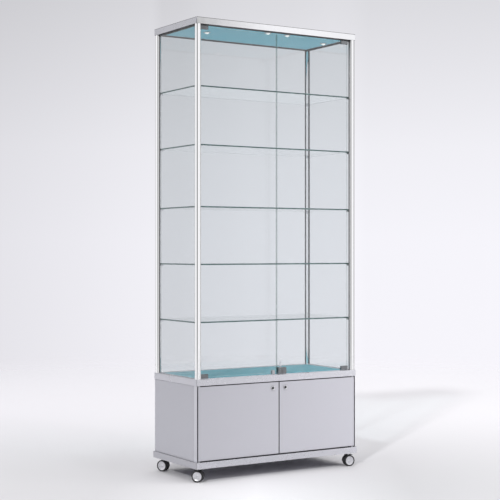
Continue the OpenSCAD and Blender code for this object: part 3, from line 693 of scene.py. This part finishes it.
# %% Join four rails to a frame
def rail_frame(node, grooves, ledges, finishes, cutters=()):
    """The four rails of one frame, from the box of its node; cutters open its rear rail."""
    low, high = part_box(node)
    w, d = high.x - low.x, high.y - low.y
    shade_line_width = 0.0018 if grooves == "below" else 0.0
    front = rail("front", w, d / 2, low.z, high.z, None, ledges, shade_line_width)
    straight = rail("straight", w, d / 2, low.z, high.z, grooves, ledges, shade_line_width, cutters)
    rear = turned(straight, 180, "rear")
    side = rail("side", d, w / 2, low.z, high.z, grooves, ledges, shade_line_width)
    left = turned(side, -90, "left")
    right = turned(side, 90, "right")
    for pattern in (straight, side):
        bpy.data.objects.remove(pattern)
    for piece, finish in zip((front, rear, left, right), (0, 0, 1, 1)):
        paint(piece, finishes[finish])
    # Painted shade: black rubber on the undersides and on a thin band at the top of the outer
    # faces.
    if grooves == "below":
        for piece in (front, rear, left, right):
            piece.data.materials.append(seal_rubber)
            with editing(piece):
                pick(piece, "FACE", lambda m, n: (n.z < -0.9 and m.z < low.z + 0.001)
                     or (n.z < 0.98 and m.z > high.z - shade_line_width and m.x * n.x + m.y * n.y > 0))
                piece.active_material_index = 1
                bpy.ops.object.material_slot_assign()
    whole = join(node.replace("_rails", ""), [front, rear, left, right])
    return deliver(whole, "cabinet", node)


cupboard_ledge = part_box("base_frame_rails")[0].z + 0.018
floor_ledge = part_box("mid_frame_rails")[1].z - 0.012
top_low, top_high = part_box("top_frame_rails")
ceiling_ledge, roof_ledge = top_low.z, top_high.z - 0.007
inlet_half, inlet_from, inlet_to = 0.0122, 1.9638, 1.9772
inlet_hole = block("hole", (-inlet_half, top_low.y - past, inlet_from),
                   (inlet_half, top_low.y + 0.05, inlet_to))
rail_frame("base_frame_rails", None, [cupboard_ledge], (base_along_x, base_along_y))
rail_frame("mid_frame_rails", "above", [floor_ledge], (rail_along_x, rail_along_y))
rail_frame("top_frame_rails", "below", [ceiling_ledge, roof_ledge], (top_along_x, top_along_y),
           [inlet_hole])

# %% [markdown]
# ## Posts
# The four posts are lengths of the same round bar with two slots for glass. At the front
# corners the slot beside the door has no glass in it, so a black rubber strip fills it. Its
# black also stands in for the shade deep in the slot, as painted shade. A smooth round with
# crisp slots is easiest as a cylinder from which bars are taken away with a Boolean modifier.
# The lips of the slots then get a small rounding.


# %% Start a round bar
def rod(name, start, end, radius, sides=48):
    """A cylinder between two points that lie along one axis."""
    start, end = Vector(start), Vector(end)
    bpy.ops.object.select_all(action="DESELECT")
    bpy.ops.mesh.primitive_cylinder_add(
        vertices=sides, radius=radius, depth=(end - start).length, location=(start + end) / 2,
        rotation=(end - start).to_track_quat("Z", "Y").to_euler())
    piece = bpy.context.active_object
    piece.name = name
    settle(piece)
    return piece


def cross_rod(name, spot, reach, radius, sides=48):
    """A cylinder along Y that reaches equally far to both sides of a spot."""
    side = Vector((0, reach, 0))
    return rod(name, spot - side, spot + side, radius, sides)


# %% Shape the four posts
post_radius, slot_half, slot_mouth, slot_end = 0.0135, 0.004, 0.006, 0.03
strip_end, strip_play, end_play = 0.0128, 0.00005, 0.0002
for node, inward_x, inward_y in (("post_front_left", 1, 1), ("post_front_right", -1, 1),
                                 ("post_back_left", 1, -1), ("post_back_right", -1, -1)):
    low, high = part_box(node)
    x, y = centre(node)[:2]
    piece = rod(node.replace("post", "corner_post"), (x, y, low.z), (x, y, high.z),
                post_radius, 96)
    ends = sorted((y + inward_y * slot_mouth, y + inward_y * slot_end))
    carve(piece, block("slot", (x - slot_half, ends[0], low.z - past),
                       (x + slot_half, ends[1], high.z + past)))
    ends = sorted((x + inward_x * slot_mouth, x + inward_x * slot_end))
    carve(piece, block("slot", (ends[0], y - slot_half, low.z - past),
                       (ends[1], y + slot_half, high.z + past)))
    soften(piece, 0.0004)
    paint(piece, post_metal)
    # Painted shade: the black strip darkens the empty front slot.
    if inward_y > 0:
        ends = sorted((x + inward_x * slot_mouth, x + inward_x * strip_end))
        strip = block("strip", (ends[0], y - slot_half + strip_play, low.z + end_play),
                      (ends[1], y + slot_half - strip_play, high.z - end_play))
        round_edges(strip, 0.0008, 3, lambda m, n: abs(n.z) > 0.9 and abs(m.x - x) > 0.01)
        soften(strip, 0)
        paint(strip, seal_rubber)
        piece = join(piece.name, [piece, strip])
    deliver(piece, "cabinet", node)

# %% [markdown]
# ## Fixed glass
# Each pane stands in the slots of two posts and in grooves above and below. A pane is a thin
# block. Its long edges are ground to a small bevel, and those narrow faces get the darker
# edge material, which is the greenish line that shows where glass ends.


# %% Give a pane its faces and its edges
def glaze(piece, thin, face, edge, flat=0.9):
    """The faces square to the thin axis get one finish, and all the others the edge finish."""
    paint(piece, face, edge)
    side = "xyz".index(thin)
    with editing(piece):
        pick(piece, "FACE", lambda m, n: abs(n[side]) < flat)
        piece.active_material_index = 1
        bpy.ops.object.material_slot_assign()


def pane(name, node, thin, body="cabinet", cutters=()):
    """A pane in the box of its node."""
    piece = carve(block(name, *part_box(node)), *cutters)
    soften(piece, 0.0006)
    glaze(piece, thin, pane_face, pane_edge)
    return deliver(piece, body, node)


# %% Set the three fixed panes
pane("pane_left", "side_glass_left", "x")
pane("pane_right", "side_glass_right", "x")
pane("pane_back", "back_glass", "y")

# %% [markdown]
# ## Glass shelves
# Five equal shelves rest on small blocks at the posts. Their back corners are cut round to
# clear the posts. The lowest shelf is modelled, and the others are copies that are moved up.

# %% Cut the first shelf and copy it
low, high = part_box("shelf_1")
notches = []
for node in ("post_back_left", "post_back_right"):
    x, y = centre(node)[:2]
    notches.append(rod("notch", (x, y, low.z - past), (x, y, high.z + past), 0.0155, 64))
first_shelf = carve(block("glass_shelf_1", low, high), *notches)
soften(first_shelf, 0.0006)
glaze(first_shelf, "z", shelf_face, shelf_edge)
heights = [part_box("shelf_%d" % n)[0].z for n in range(1, 6)]
shelves = [first_shelf]
for n in range(2, 6):
    shelves.append(raised(first_shelf, heights[n - 1] - low.z, "glass_shelf_%d" % n))
for n, piece in enumerate(shelves, 1):
    deliver(piece, "cabinet", "shelf_%d" % n)

# %% [markdown]
# The blocks under the shelves are small plated blocks that grip the posts. Each is a block
# turned towards its shelf, hollowed to fit the round post, with softened edges.

# %% Make the shelf blocks
blocks = []
for node, inward_x, inward_y, turn in (
        ("post_front_left", 1, 1, 52), ("post_back_left", 1, -1, 45),
        ("post_front_right", -1, 1, 52), ("post_back_right", -1, -1, 45)):
    x, y = centre(node)[:2]
    aim = Vector((inward_x * cos(radians(turn)), inward_y * sin(radians(turn)), 0))
    first = block("clip", (0.011, -0.004, -0.007), (0.025, 0.004, 0))
    first.matrix_world = (Matrix.Translation((x, y, heights[0]))
                          @ aim.to_track_quat("X", "Z").to_matrix().to_4x4())
    settle(first)
    carve(first, rod("post", (x, y, 0.5), (x, y, 1.0), post_radius + 0.00005, 96))
    soften(first, 0.0005)
    blocks.append(first)
    blocks += [raised(first, height - heights[0], "clip") for height in heights[1:]]
deliver(join("shelf_blocks", blocks), "cabinet", "shelf_supports", chrome)

# %% [markdown]
# ## Panels
# The display floor, the roof and the cupboard's boards are plain sheets whose edges are broken
# by a small bevel. The boards get an edge band: the narrow faces have their own, slightly
# duller material, as on real laminate board.

# %% A board with banded edges
def board(name, node, thin, face, edge, bevel=0.0008, cutters=(), body="cabinet",
          flat=0.9):
    """A board in the box of its node."""
    piece = carve(block(name, *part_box(node)), *cutters)
    soften(piece, bevel)
    glaze(piece, thin, face, edge, flat)
    return deliver(piece, body, node)


board("blue_floor", "display_floor", "z", blue_laminate, blue_laminate)
board("roof_sheet", "roof_panel", "z", roof_paint, roof_paint, 0.0006)
board("side_board_left", "cabinet_side_left", "x", shaded_side_laminate, edge_band)
board("side_board_right", "cabinet_side_right", "x", shaded_side_laminate, edge_band)
board("back_board", "cabinet_back", "y", shaded_side_laminate, edge_band)

# %% [markdown]
# ## Glass doors
# Two frameless doors turn on pins at the outer corners. Each door is a pane with a small
# clamp at its top and bottom corner. The right door has a bore for its lock.

# %% Hang the glass doors
pane("door_glass_left", "glass_door_left", "y", "left_glass_door")
lock_x, _, lock_z = centre("glass_lock_body")
_, door_y, door_z = centre("glass_door_left")
lock_bore = rod("bore", (lock_x, door_y - 0.02, lock_z), (lock_x, door_y + 0.02, lock_z), 0.007)
pane("door_glass_right", "glass_door_right", "y", "right_glass_door", [lock_bore])

# %% [markdown]
# A clamp is a nickel plated block that is slotted for the glass. Its edges are well rounded,
# because the polishing wheel rounds them, and two socket screws close it from inside. The
# bottom left one is modelled, and the others are mirror images.


# %% Model one clamp
def socket_screw(place, radius=0.0028):
    """A small screw head with a hexagon socket, facing into the cabinet."""
    head = lathe("screw", [(0, -0.001), (radius, -0.001), (radius, 0.0004),
                           (radius - 0.0004, 0.0008), (0, 0.0008)], 24)
    stand(head, place, "+Y")
    carve(head, rod("socket", Vector(place) + Vector((0, 0.0002, 0)),
                    Vector(place) + Vector((0, 0.003, 0)), radius * 0.55, 6))
    return soften(head, 0)


low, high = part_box("glass_door_left_clamps")
clamp_high, jaw, jaw_half = 0.018, 0.006, 0.0026
glass_front, glass_rear = door_y - jaw_half, door_y + jaw_half
clamp = block("clamp", low, (high.x, high.y, low.z + clamp_high))
carve(clamp, block("slot", (low.x - past, glass_front, low.z + jaw),
                   (high.x + past, glass_rear, low.z + 0.05)))
soften(clamp, 0.0011, 3)
screws = [socket_screw((low.x + x, high.y, low.z + 0.012)) for x in (0.010, 0.027)]
clamp = join("clamp", [clamp] + screws)
print("clamp", len(clamp.data.polygons), "faces")

# %% Copy it to the other three corners
top_clamp = mirrored(clamp, "z", door_z, "clamp top")
left_pair = join("door_clamps_left", [clamp, top_clamp])
right_pair = mirrored(left_pair, "x", 0, "door_clamps_right")
deliver(left_pair, "left_glass_door", "glass_door_left_clamps", dark_nickel)
deliver(right_pair, "right_glass_door", "glass_door_right_clamps", dark_nickel)

# %% [markdown]
# ## Glass lock
# A nickel plated block clamps the lower free corner of the right door. A ring surrounds the
# cylinder. Behind the glass, a flat zinc cam stands upright and swings over into the strike on
# the left door. The helpers for the key slot and the cam serve the cupboard's locks too.

# %% Shape the lock block
low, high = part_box("glass_lock_body")
shell = block("glass_lock_shell", low, high)
carve(shell, block("slot", (low.x - past, glass_front, low.z + jaw),
                   (high.x + past, glass_rear, high.z + past)),
      rod("bore", (lock_x, low.y - past, lock_z), (lock_x, high.y + past, lock_z), 0.00605))
soften(shell, 0.0013, 3)
ring = lathe("ring", [(0.0061, -0.001), (0.0061, 0.0002), (0.0066, 0.0006), (0.0082, 0.0006),
                      (0.0086, 0.0002), (0.0086, -0.001), (0.0061, -0.001)])
stand(ring, (lock_x, low.y, lock_z), "-Y")
soften(ring, 0)
deliver(join("glass_lock_shell", [shell, ring]), "right_glass_door",
        "glass_lock_body", dark_nickel)


# %% Shape its cylinder and cam
def key_slot(x, z, front, rear):
    """A cutter as wide and high as a flat key."""
    return block("key slot", (x - 0.0008, front, z - 0.0035), (x + 0.0008, rear, z + 0.0035))


def flat_cam(low, high, is_tip):
    """A flat cam with two round corners at its tip."""
    cam = block("cam", low, high)
    round_edges(cam, 0.0035, 6, lambda m, n: abs(n.y) > 0.9 and is_tip(m))
    return soften(cam, 0.0003)


cam_half, cam_thick = 0.004, 0.002
low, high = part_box("glass_lock_plug")
barrel = rod("barrel", (lock_x, low.y, lock_z), (lock_x, high.y, lock_z), 0.006, 64)
carve(barrel, key_slot(lock_x, lock_z, low.y - past, low.y + 0.006))
soften(barrel, 0.0005)
cam = flat_cam((lock_x - cam_half, high.y - cam_thick, lock_z), (lock_x + cam_half, high.y, high.z),
               lambda m: m.z > lock_z + 0.01)
paint(barrel, dark_nickel)
paint(cam, bright_zinc)
deliver(join("glass_lock_cylinder", [barrel, cam]), "glass_lock", "glass_lock_plug")

# %% Shape the strike
low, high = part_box("glass_lock_strike")
plate, side = 0.002, 0.0015
strike = block("glass_lock_catch", low, high)
carve(strike,
      block("glass", (low.x - past, glass_front, low.z + jaw),
            (high.x + past, glass_rear, high.z + past)),
      block("channel", (low.x - past, glass_rear + plate, low.z + jaw),
            (high.x + past, high.y - side, high.z + past)),
      block("step", (low.x - past, glass_rear + plate, low.z - past),
            (high.x + past, high.y + past, low.z + side)))
soften(strike, 0.0005)
deliver(strike, "left_glass_door", "glass_lock_strike", zinc)

# %% [markdown]
# ## Cupboard doors
# Two laminate boards turn on pins behind the corner trims. Each has a bore for its cam lock.
# The dark band also covers the softened edge all round, so that its near-black paints the shade
# that makes the gaps look deep and crisp.

# %% Hang the cupboard doors
bore_radius = 0.00805
for side in ("left", "right"):
    x, _, z = centre("storage_lock_%s_body" % side)
    low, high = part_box("storage_door_" + side)
    bore = rod("bore", (x, low.y - past, z), (x, high.y + past, z), bore_radius)
    board("cupboard_door_" + side, "storage_door_" + side, "y", grey_laminate, dark_band_and_gap_shade,
          0.0012, [bore], side + "_storage_door", flat=0.98)

# %% [markdown]
# The cam locks have a chrome ring in front of the door and a nut behind it. The ring is turned
# on the lathe, with a rounded rim and a shallow dish, so that it shows a dark arc and a bright
# one. The plug in it has a key slot, and its flat cam lies behind the door.

# %% Turn the lock rings and plugs
for side, out in (("left", -1), ("right", 1)):
    x, _, z = centre("storage_lock_%s_body" % side)
    door_front, door_rear = [corner.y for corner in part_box("storage_door_" + side)]
    ring = lathe("ring", [(0.0056, -0.026), (0.008, -0.026), (0.008, -0.0002), (0.0100, -0.0002),
                          (0.0105, 0.0006), (0.0105, 0.0028), (0.0103, 0.0034), (0.0100, 0.0035),
                          (0.0097, 0.0034), (0.0060, 0.0014), (0.0056, 0.0014), (0.0056, -0.026)],
                 64)
    stand(ring, (x, door_front, z), "-Y")
    soften(ring, 0)
    nut = rod("nut", (x, door_rear, z), (x, door_rear + 0.003, z), 0.011, 6)
    carve(nut, rod("thread", (x, door_rear - past, z), (x, door_rear + past, z), 0.0079))
    soften(nut, 0.0004)
    deliver(join("cam_lock_" + side, [ring, nut]), side + "_storage_door",
            "storage_lock_%s_body" % side, chrome)
    low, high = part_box("storage_lock_%s_plug" % side)
    plug = rod("plug", (x, door_front - 0.0016, z), (x, high.y, z), 0.0055)
    carve(plug, key_slot(x, z, low.y - past, low.y + 0.0055))
    soften(plug, 0.0004)
    ends = sorted((x, x + out * 0.024))
    cam = flat_cam((ends[0], high.y - cam_thick, z - cam_half), (ends[1], high.y, z + cam_half),
                   lambda m: abs(m.x - x) > 0.02)
    deliver(join("cam_lock_plug_" + side, [plug, cam]), side + "_storage_lock",
            "storage_lock_%s_plug" % side, black_nickel)

# %% [markdown]
# ## Edge trims
# A thin aluminium angle covers the front edge of each cupboard side, and a strip under the
# middle frame gives the doors something to close on. An angle starts as its thin front leg.
# A strip of its inner face is then pulled out to make the other leg. The stop strip is black.

# %% Pull the angles and the stop strip
low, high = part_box("cabinet_edge_trims")
wall, deep, across = 0.0015, 0.0235, 0.018
angle = block("angle", low, (low.x + wall, low.y + deep, high.z))
with editing(angle):
    slice_at((0, low.y + deep - wall, 0), (0, 1, 0))
    pick(angle, "FACE", lambda m, n: n.x > 0.9 and m.y > low.y + deep - wall)
    pull(x=across - wall)
soften(angle, 0.0003)
other = mirrored(angle, "x", 0, "angle right")
lip, stop_inset = 0.002, 0.026
stop = block("stop", (low.x + stop_inset, low.y + 0.0185, high.z - 0.012),
             (high.x - stop_inset, low.y + 0.0205, high.z))
with editing(stop):
    slice_at((0, 0, high.z - lip), (0, 0, 1))
    pick(stop, "FACE", lambda m, n: n.y > 0.9 and m.z > high.z - lip)
    pull(y=0.003)
soften(stop, 0.0003)
for piece, finish in ((angle, trim_metal), (other, trim_metal), (stop, seal_rubber)):
    paint(piece, finish)
deliver(join("edge_trims", [angle, other, stop]), "cabinet", "cabinet_edge_trims")

# %% [markdown]
# ## Lamps
# Four small lamps sit in the ceiling panel. Each has a zinc ring below the panel, a can above
# it and a domed lens. Both are lathe work. The dome is a slice of a sphere, so its outline is
# worked out from its width and its drop.

# %% Turn the lamp rings and lenses
ceiling_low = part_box("ceiling_panel")[0].z
corner_x, corner_y = -0.418, -0.189
spots = [(corner_x + x, corner_y + y)
         for x, y in ((0.157, 0.186), (0.394, 0.054), (0.500, 0.060), (0.770, 0.160))]
drop, wide, seat = 0.006, 0.010, 0.002
ball = (wide * wide + drop * drop) / (2 * drop)
steep = asin(wide / ball)
dome = [(ball * sin(k / 10 * steep), -drop + ball * (1 - cos(k / 10 * steep)))
        for k in range(11)]
ring_line = [(0.0101, -0.0020), (0.0112, -0.0020), (0.0150, -0.0016), (0.0158, -0.0010),
             (0.0160, -0.0001), (0.0120, 0.0001), (0.0120, 0.0148), (0.0115, 0.0150),
             (0.0, 0.0150), (0.0, 0.0010), (0.0101, 0.0010), (0.0101, -0.0020)]
lens_line = [(r, z - seat) for r, z in dome] + [(wide, -0.0004), (0.0, -0.0004)]
rings, lenses = [], []
for x, y in spots:
    for name, line, made in (("ring", ring_line, rings), ("lens", lens_line, lenses)):
        made.append(soften(stand(lathe(name, line), (x, y, ceiling_low)), 0))
deliver(join("lamp_rings", rings), "cabinet", "downlights", zinc)
deliver(join("lamp_lenses", lenses), "cabinet", "downlight_lenses", lens_milk)

# %% [markdown]
# ## Castors
# Each castor has two wheels under one black hood, and the front ones have a small brake pedal.
# One castor is modelled at the origin with its wheels trailing along X. The joints of the
# frame say where each castor stands and how far it is turned, so copies are put there.

# %% Shape the hood
trail, wheel_r = 0.015, 0.025
axle_at = Vector((trail, 0, wheel_r))
web = cross_rod("web", axle_at, 0.0062, 0.0261, 96)
with editing(web):
    slice_at((trail + 0.0015, 0, 0), (1, 0, 0), drop="ahead")
    slice_at((0, 0, wheel_r - 0.009), (0, 0, 1), drop="behind")
soften(web, 0.0012, 3, 50)
cover = lathe("cover", [(0.0256, -0.0145), (0.0264, -0.0145), (0.0266, -0.0140), (0.0266, 0.0140),
                        (0.0264, 0.0145), (0.0256, 0.0145), (0.0256, -0.0145)], 96)
stand(cover, axle_at, "+Y")
with editing(cover):
    slice_at((0, 0, wheel_r - 0.003), (0, 0, 1), drop="behind")
    slice_at((trail + 0.002, 0, 0), (1, 0, 0), drop="ahead")
soften(cover, 0.0003)
boss = rod("boss", (0, 0, 0.030), (0, 0, 0.0564), 0.0059)
soften(boss, 0.0006)
hood = join("hood", [web, cover, boss])
print("hood", len(hood.data.polygons), "faces")

# %% Add the ears that hold the pedal
pedal_at = Vector((trail + 0.007, 0, wheel_r + 0.0175))
ears = []
ear_y, ear_half, ear_high = 0.0057, 0.0005, 0.004
for side in (-1, 1):
    ear = block("ear", (trail, side * ear_y - ear_half, pedal_at.z - ear_high),
                (trail + 0.011, side * ear_y + ear_half, pedal_at.z + ear_high))
    round_edges(ear, 0.0037, 8, lambda m, n: abs(n.y) > 0.9 and m.x > trail + 0.01)
    ears.append(soften(ear, 0.0002))
pin = soften(cross_rod("pin", pedal_at, 0.0062, 0.0012, 24), 0)
braked_hood = join("braked hood", [twin(hood, "hood again")] + ears + [pin])
print("braked hood", len(braked_hood.data.polygons), "faces")


# %% Turn the tyres and the hubs
def wheel_pair(name, points):
    """A lathe part on the outer side of each wheel, as one piece."""
    outer = lathe(name, points, 64)
    stand(outer, axle_at + Vector((0, 0.0065, 0)), "+Y")
    soften(outer, 0)
    return join(name, [outer, mirrored(outer, "y", 0, name + " again")])


tyres = wheel_pair("tyres", [(0.0200, 0.0), (0.0234, 0.0), (0.0245, 0.0003), (0.0250, 0.0012),
                             (0.0250, 0.0058), (0.0247, 0.0070), (0.0239, 0.0078),
                             (0.0224, 0.0080), (0.0210, 0.0078), (0.0200, 0.0072),
                             (0.0200, 0.0)])
hubs = wheel_pair("hubs", [(0.0, 0.0068), (0.0040, 0.0067), (0.0049, 0.0062), (0.0052, 0.0053),
                           (0.0060, 0.0050), (0.0125, 0.0051), (0.0160, 0.0058),
                           (0.0180, 0.0068), (0.0192, 0.0069), (0.0199, 0.0063),
                           (0.0199, 0.0003), (0.0182, 0.0003), (0.0178, 0.0030),
                           (0.0, 0.0030)])
axle = soften(cross_rod("axle", axle_at, 0.0110, 0.003, 32), 0)
hubs = join("hubs", [hubs, axle])
print("hubs", len(hubs.data.polygons), "faces, tyres", len(tyres.data.polygons))

# %% Bend the pedal
tab = block("tab", (-0.002, -0.008, 0), (0.011, 0.008, 0.0022))
with editing(tab):
    for x in (0.003, 0.0045, 0.006, 0.0075, 0.009):
        slice_at((x, 0, 0), (1, 0, 0))
    pick(tab, "FACE", lambda m, n: n.z > 0.9 and (0.003 < m.x < 0.0045 or 0.006 < m.x < 0.0075))
    bpy.ops.transform.translate(value=(0, 0, -0.0004))
round_edges(tab, 0.003, 6, lambda m, n: abs(n.z) > 0.9 and m.x > 0.0105)
soften(tab, 0.0003)
tab.rotation_euler = (0, radians(10), 0)
tab.location = (pedal_at.x, 0, wheel_r + 0.0256)
settle(tab)
neck = block("neck", (pedal_at.x - 0.002, -0.0048, pedal_at.z),
             (pedal_at.x + 0.003, 0.0048, wheel_r + 0.0266))
knuckle = cross_rod("knuckle", pedal_at, 0.0048, 0.003, 32)
pedal = join("pedal", [tab, soften(neck, 0.0004), soften(knuckle, 0.0003)])
print("pedal", len(pedal.data.polygons), "faces")

# %% Set the castors at their corners
joints = {joint["name"]: joint for joint in frame["joints"]}
for corner in ("fl", "fr", "bl", "br"):
    swivel = Vector(joints["castor_%s_swivel" % corner]["pos_m"])
    roll = Vector(joints["castor_%s_roll" % corner]["pos_m"])
    turn = atan2(roll.y - swivel.y, roll.x - swivel.x)
    place = Matrix.Translation((swivel.x, swivel.y, 0)) @ Matrix.Rotation(turn, 4, "Z")
    braked = corner in ("fl", "fr")
    sets = [(braked_hood if braked else hood, "hood", "castor_" + corner, "black_plastic",
             "castor_%s_hood" % corner, black_plastic),
            (tyres, "tyres", "castor_%s_wheels" % corner, "tyre_rubber",
             "castor_%s_tyres" % corner, tread),
            (hubs, "hubs", "castor_%s_wheels" % corner, "silver_plastic",
             "castor_%s_hubs" % corner, hub_silver)]
    if braked:
        sets.append((pedal, "pedal", "brake_" + corner, "black_plastic",
                     "brake_pedal_" + corner, black_plastic))
    for pattern, word, body, slot, node, finish in sets:
        copy = twin(pattern, "roller_%s_%s" % (corner, word))
        copy.matrix_world = place
        settle(copy)
        deliver(copy, body, node, finish)
for pattern in (hood, braked_hood, tyres, hubs, pedal):
    bpy.data.objects.remove(pattern)

# %% [markdown]
# ## Parts that keep their measured shape
# Pins, seals, wires, the ceiling panel and hidden parts already have the right shape. They only
# need their finishes, which go into the material slots that the nodes came with.

# %% Give the remaining nodes their finishes
kept = {"frame_fixings": zinc, "glazing_seals": seal_rubber, "ceiling_panel": brightened_ceiling_laminate,
        "led_driver": white_plastic, "power_inlet": black_plastic, "light_wires": white_plastic,
        "door_pivot_pins": zinc, "cabinet_floor": shaded_side_laminate, "castor_plates": zinc}
for node, finish in kept.items():
    for slot in nodes[node].material_slots:
        slot.material = finish
    print(node, "has", finish.name)

# %% [markdown]
# ## Floor and light
# The cabinet stands on a plain pale floor in a bright studio. Near the camera the floor is
# painted a little darker to the left and right, as at the edges of a pool of light. Far away it
# fades out, so that no horizon shows and the floor runs into the pale surround.

# %% Helpers for shading along a direction
def along(tree, source, direction):
    """How far a point lies along a direction."""
    return add(tree, "ShaderNodeVectorMath", {0: source, 1: direction},
               operation="DOT_PRODUCT").outputs["Value"]


def ramp(tree, source, stops):
    """A colour ramp; each stop is a place and a grey value or a colour."""
    node = add(tree, "ShaderNodeValToRGB", {"Fac": source})
    marks = node.color_ramp.elements
    while len(marks) < len(stops):
        marks.new(0.5)
    for mark, (spot, shade) in zip(marks, stops):
        mark.position = spot
        mark.color = (*shade, 1) if isinstance(shade, tuple) else (shade, shade, 1.02 * shade, 1)
    return node.outputs["Color"]


# %% Lay the floor
bpy.ops.object.select_all(action="DESELECT")
bpy.ops.mesh.primitive_plane_add(size=60, location=(0, 0, 0))
floor = bpy.context.active_object
floor.name = "studio_floor"
floor_paint, tree, shader = new_material("Pale studio floor")
place = object_place(tree)
sideways = along(tree, place, rightward)
soft = {"interpolation_type": "SMOOTHSTEP"}
near = ramp(tree, ranged(tree, sideways, -1.5, 1.5, **soft),
            [(spot, (shade, 0.992 * shade, 1.022 * shade))
             for spot, shade in ((0.2, 0.66), (0.5, 0.86), (0.8, 0.595))])
far = tint(tree, ranged(tree, sideways, -1.6, 1.6, **soft), (0.775, 0.765, 0.80),
           (0.83, 0.82, 0.85))
depth = ranged(tree, along(tree, place, ahead), -0.6, 2.2, **soft)
away = add(tree, "ShaderNodeVectorMath", {0: place}, operation="LENGTH").outputs["Value"]
fill(tree, shader, {"Base Color": blended(tree, depth, near, far), "Roughness": 0.9,
                    "Specular IOR Level": 0.1,
                    "Alpha": ranged(tree, away, 2.6, 6.5, 1.0, 0.0, **soft)})
paint(floor, floor_paint)
print("floor laid")

# %% [markdown]
# The surround has three looks. The camera sees it, also through glass, as a pale backdrop that
# is darker at the top and on the left, and a shade darker again behind the left half of the
# cabinet. Metal mirrors it as a studio: white in front and on the far left, grey around the
# camera, with one narrow grey band on the right and dark beyond it. These bands draw the bright
# and dark streaks on the round posts. What it sheds on dull surfaces has one even colour. It is
# weak near the horizon and strong overhead, so that the shade under the cabinet stays deep.

# %% Read the direction in the surround
world = bpy.data.worlds.new("Studio")
bpy.context.scene.world = world
world.use_nodes = True
tree = world.node_tree
tree.nodes.clear()
look = add(tree, "ShaderNodeTexCoord").outputs["Generated"]
split = add(tree, "ShaderNodeSeparateXYZ", {0: look}).outputs
print("surround started")

# %% Paint the backdrop that the camera sees
backdrop = ramp(tree, ranged(tree, split["Z"], -0.2, 0.2), [
    (0.25, (0.79, 0.78, 0.825)), (0.52, (0.782, 0.775, 0.82)), (0.70, (0.745, 0.74, 0.78)),
    (0.975, (0.612, 0.61, 0.64))])
rise = ramp(tree, ranged(tree, along(tree, look, rightward), -0.2, 0.2),
            [(spot, (shade,) * 3) for spot, shade in (
                (0.0, 0.80), (0.16, 0.85), (0.31, 0.90), (0.33, 0.845), (0.37, 0.855),
                (0.41, 0.895), (0.50, 0.93), (0.58, 0.94), (0.66, 0.97), (0.70, 0.96),
                (0.73, 0.935), (1.0, 0.945))])
backdrop = scaled(tree, backdrop, maths(tree, "MULTIPLY", rise, 1.25))
print("backdrop painted")

# %% Paint the studio that metal mirrors
turn = maths(tree, "ARCTAN2", split["X"], maths(tree, "MULTIPLY", split["Y"], -1.0))
bands = [(-180, 0.60), (-158, 0.55), (-145, 0.55), (-132, 1.0), (-88, 1.0), (-70, 0.42),
         (-60, 0.28), (-40, 0.28), (-24, 0.85), (-12, 1.0), (24, 1.0), (27.5, 0.48),
         (30.3, 0.44), (32.8, 1.0), (60, 1.0), (72, 0.40), (85, 0.15), (115, 0.20), (180, 0.60)]
studio = ramp(tree, ranged(tree, turn, -pi, pi),
              [((degrees + 180) / 360, value) for degrees, value in bands])
print("studio has", len(bands), "bands")

# %% Choose the look for each kind of ray
rays = add(tree, "ShaderNodeLightPath").outputs
even = add(tree, "ShaderNodeBackground", {
    "Color": (0.985, 0.98, 0.985, 1), "Strength": ranged(tree, split["Z"], 0.38, 0.70, 0.05, 1.32)})
pale = add(tree, "ShaderNodeBackground", {"Color": backdrop, "Strength": 1.0})
mirrored_light = add(tree, "ShaderNodeBackground", {"Color": studio, "Strength": 1.0})
straight = maths(tree, "MAXIMUM", rays["Is Camera Ray"], rays["Is Transmission Ray"])
dull = add(tree, "ShaderNodeMixShader", {0: rays["Is Glossy Ray"], 1: even.outputs[0],
                                         2: mirrored_light.outputs[0]})
choice = add(tree, "ShaderNodeMixShader", {0: straight, 1: dull.outputs[0], 2: pale.outputs[0]})
add(tree, "ShaderNodeOutputWorld", {"Surface": choice.outputs[0]})
print("surround painted")

# %% [markdown]
# Two far lamps and one softbox light the cabinet. The left lamp reaches the side, the right
# one the front. The softbox stands near the right, so that the front brightens towards it.
# It isn't seen in metal or glass, because the studio bands already draw its reflection.


# %% Set the lamps
def far_lamp(name, left, up, strength, angle):
    """A large lamp far away; left is degrees left of straight in front of the cabinet."""
    left, up = radians(left), radians(up)
    aim = Vector((-sin(left) * cos(up), -cos(left) * cos(up), sin(up)))
    bpy.ops.object.light_add(type="SUN", location=aim * 6)
    lamp = bpy.context.active_object
    lamp.name = name
    lamp.rotation_euler = aim.to_track_quat("Z", "Y").to_euler()
    lamp.data.energy = strength
    lamp.data.angle = radians(angle)
    lamp.data.cycles.use_multiple_importance_sampling = False


far_lamp("Lamp from the left", 52, 32, 1.20, 4)
far_lamp("Lamp from the right", -20, 35, 0.20, 6)
stand_at, look_at = Vector((1.7, -2.0, 1.5)), Vector((0.2, 0, 0.7))
bpy.ops.object.light_add(type="AREA", location=stand_at)
softbox = bpy.context.active_object
softbox.name = "Softbox"
softbox.rotation_euler = (stand_at - look_at).to_track_quat("Z", "Y").to_euler()
softbox.data.shape = "RECTANGLE"
softbox.data.size, softbox.data.size_y = 1.2, 1.8
softbox.data.energy = 20
softbox.visible_glossy = False
softbox.visible_transmission = False
print("lamps set")

# %% [markdown]
# ## Finish
# The view transform stays plain, so colours come out as they are written. Light that would
# reach a surface by way of a mirror is left out, because it only adds noise.

# %% Set the view and leave out caustics
bpy.context.scene.view_settings.view_transform = "Standard"
bpy.context.scene.cycles.caustics_reflective = False
bpy.context.scene.cycles.caustics_refractive = False
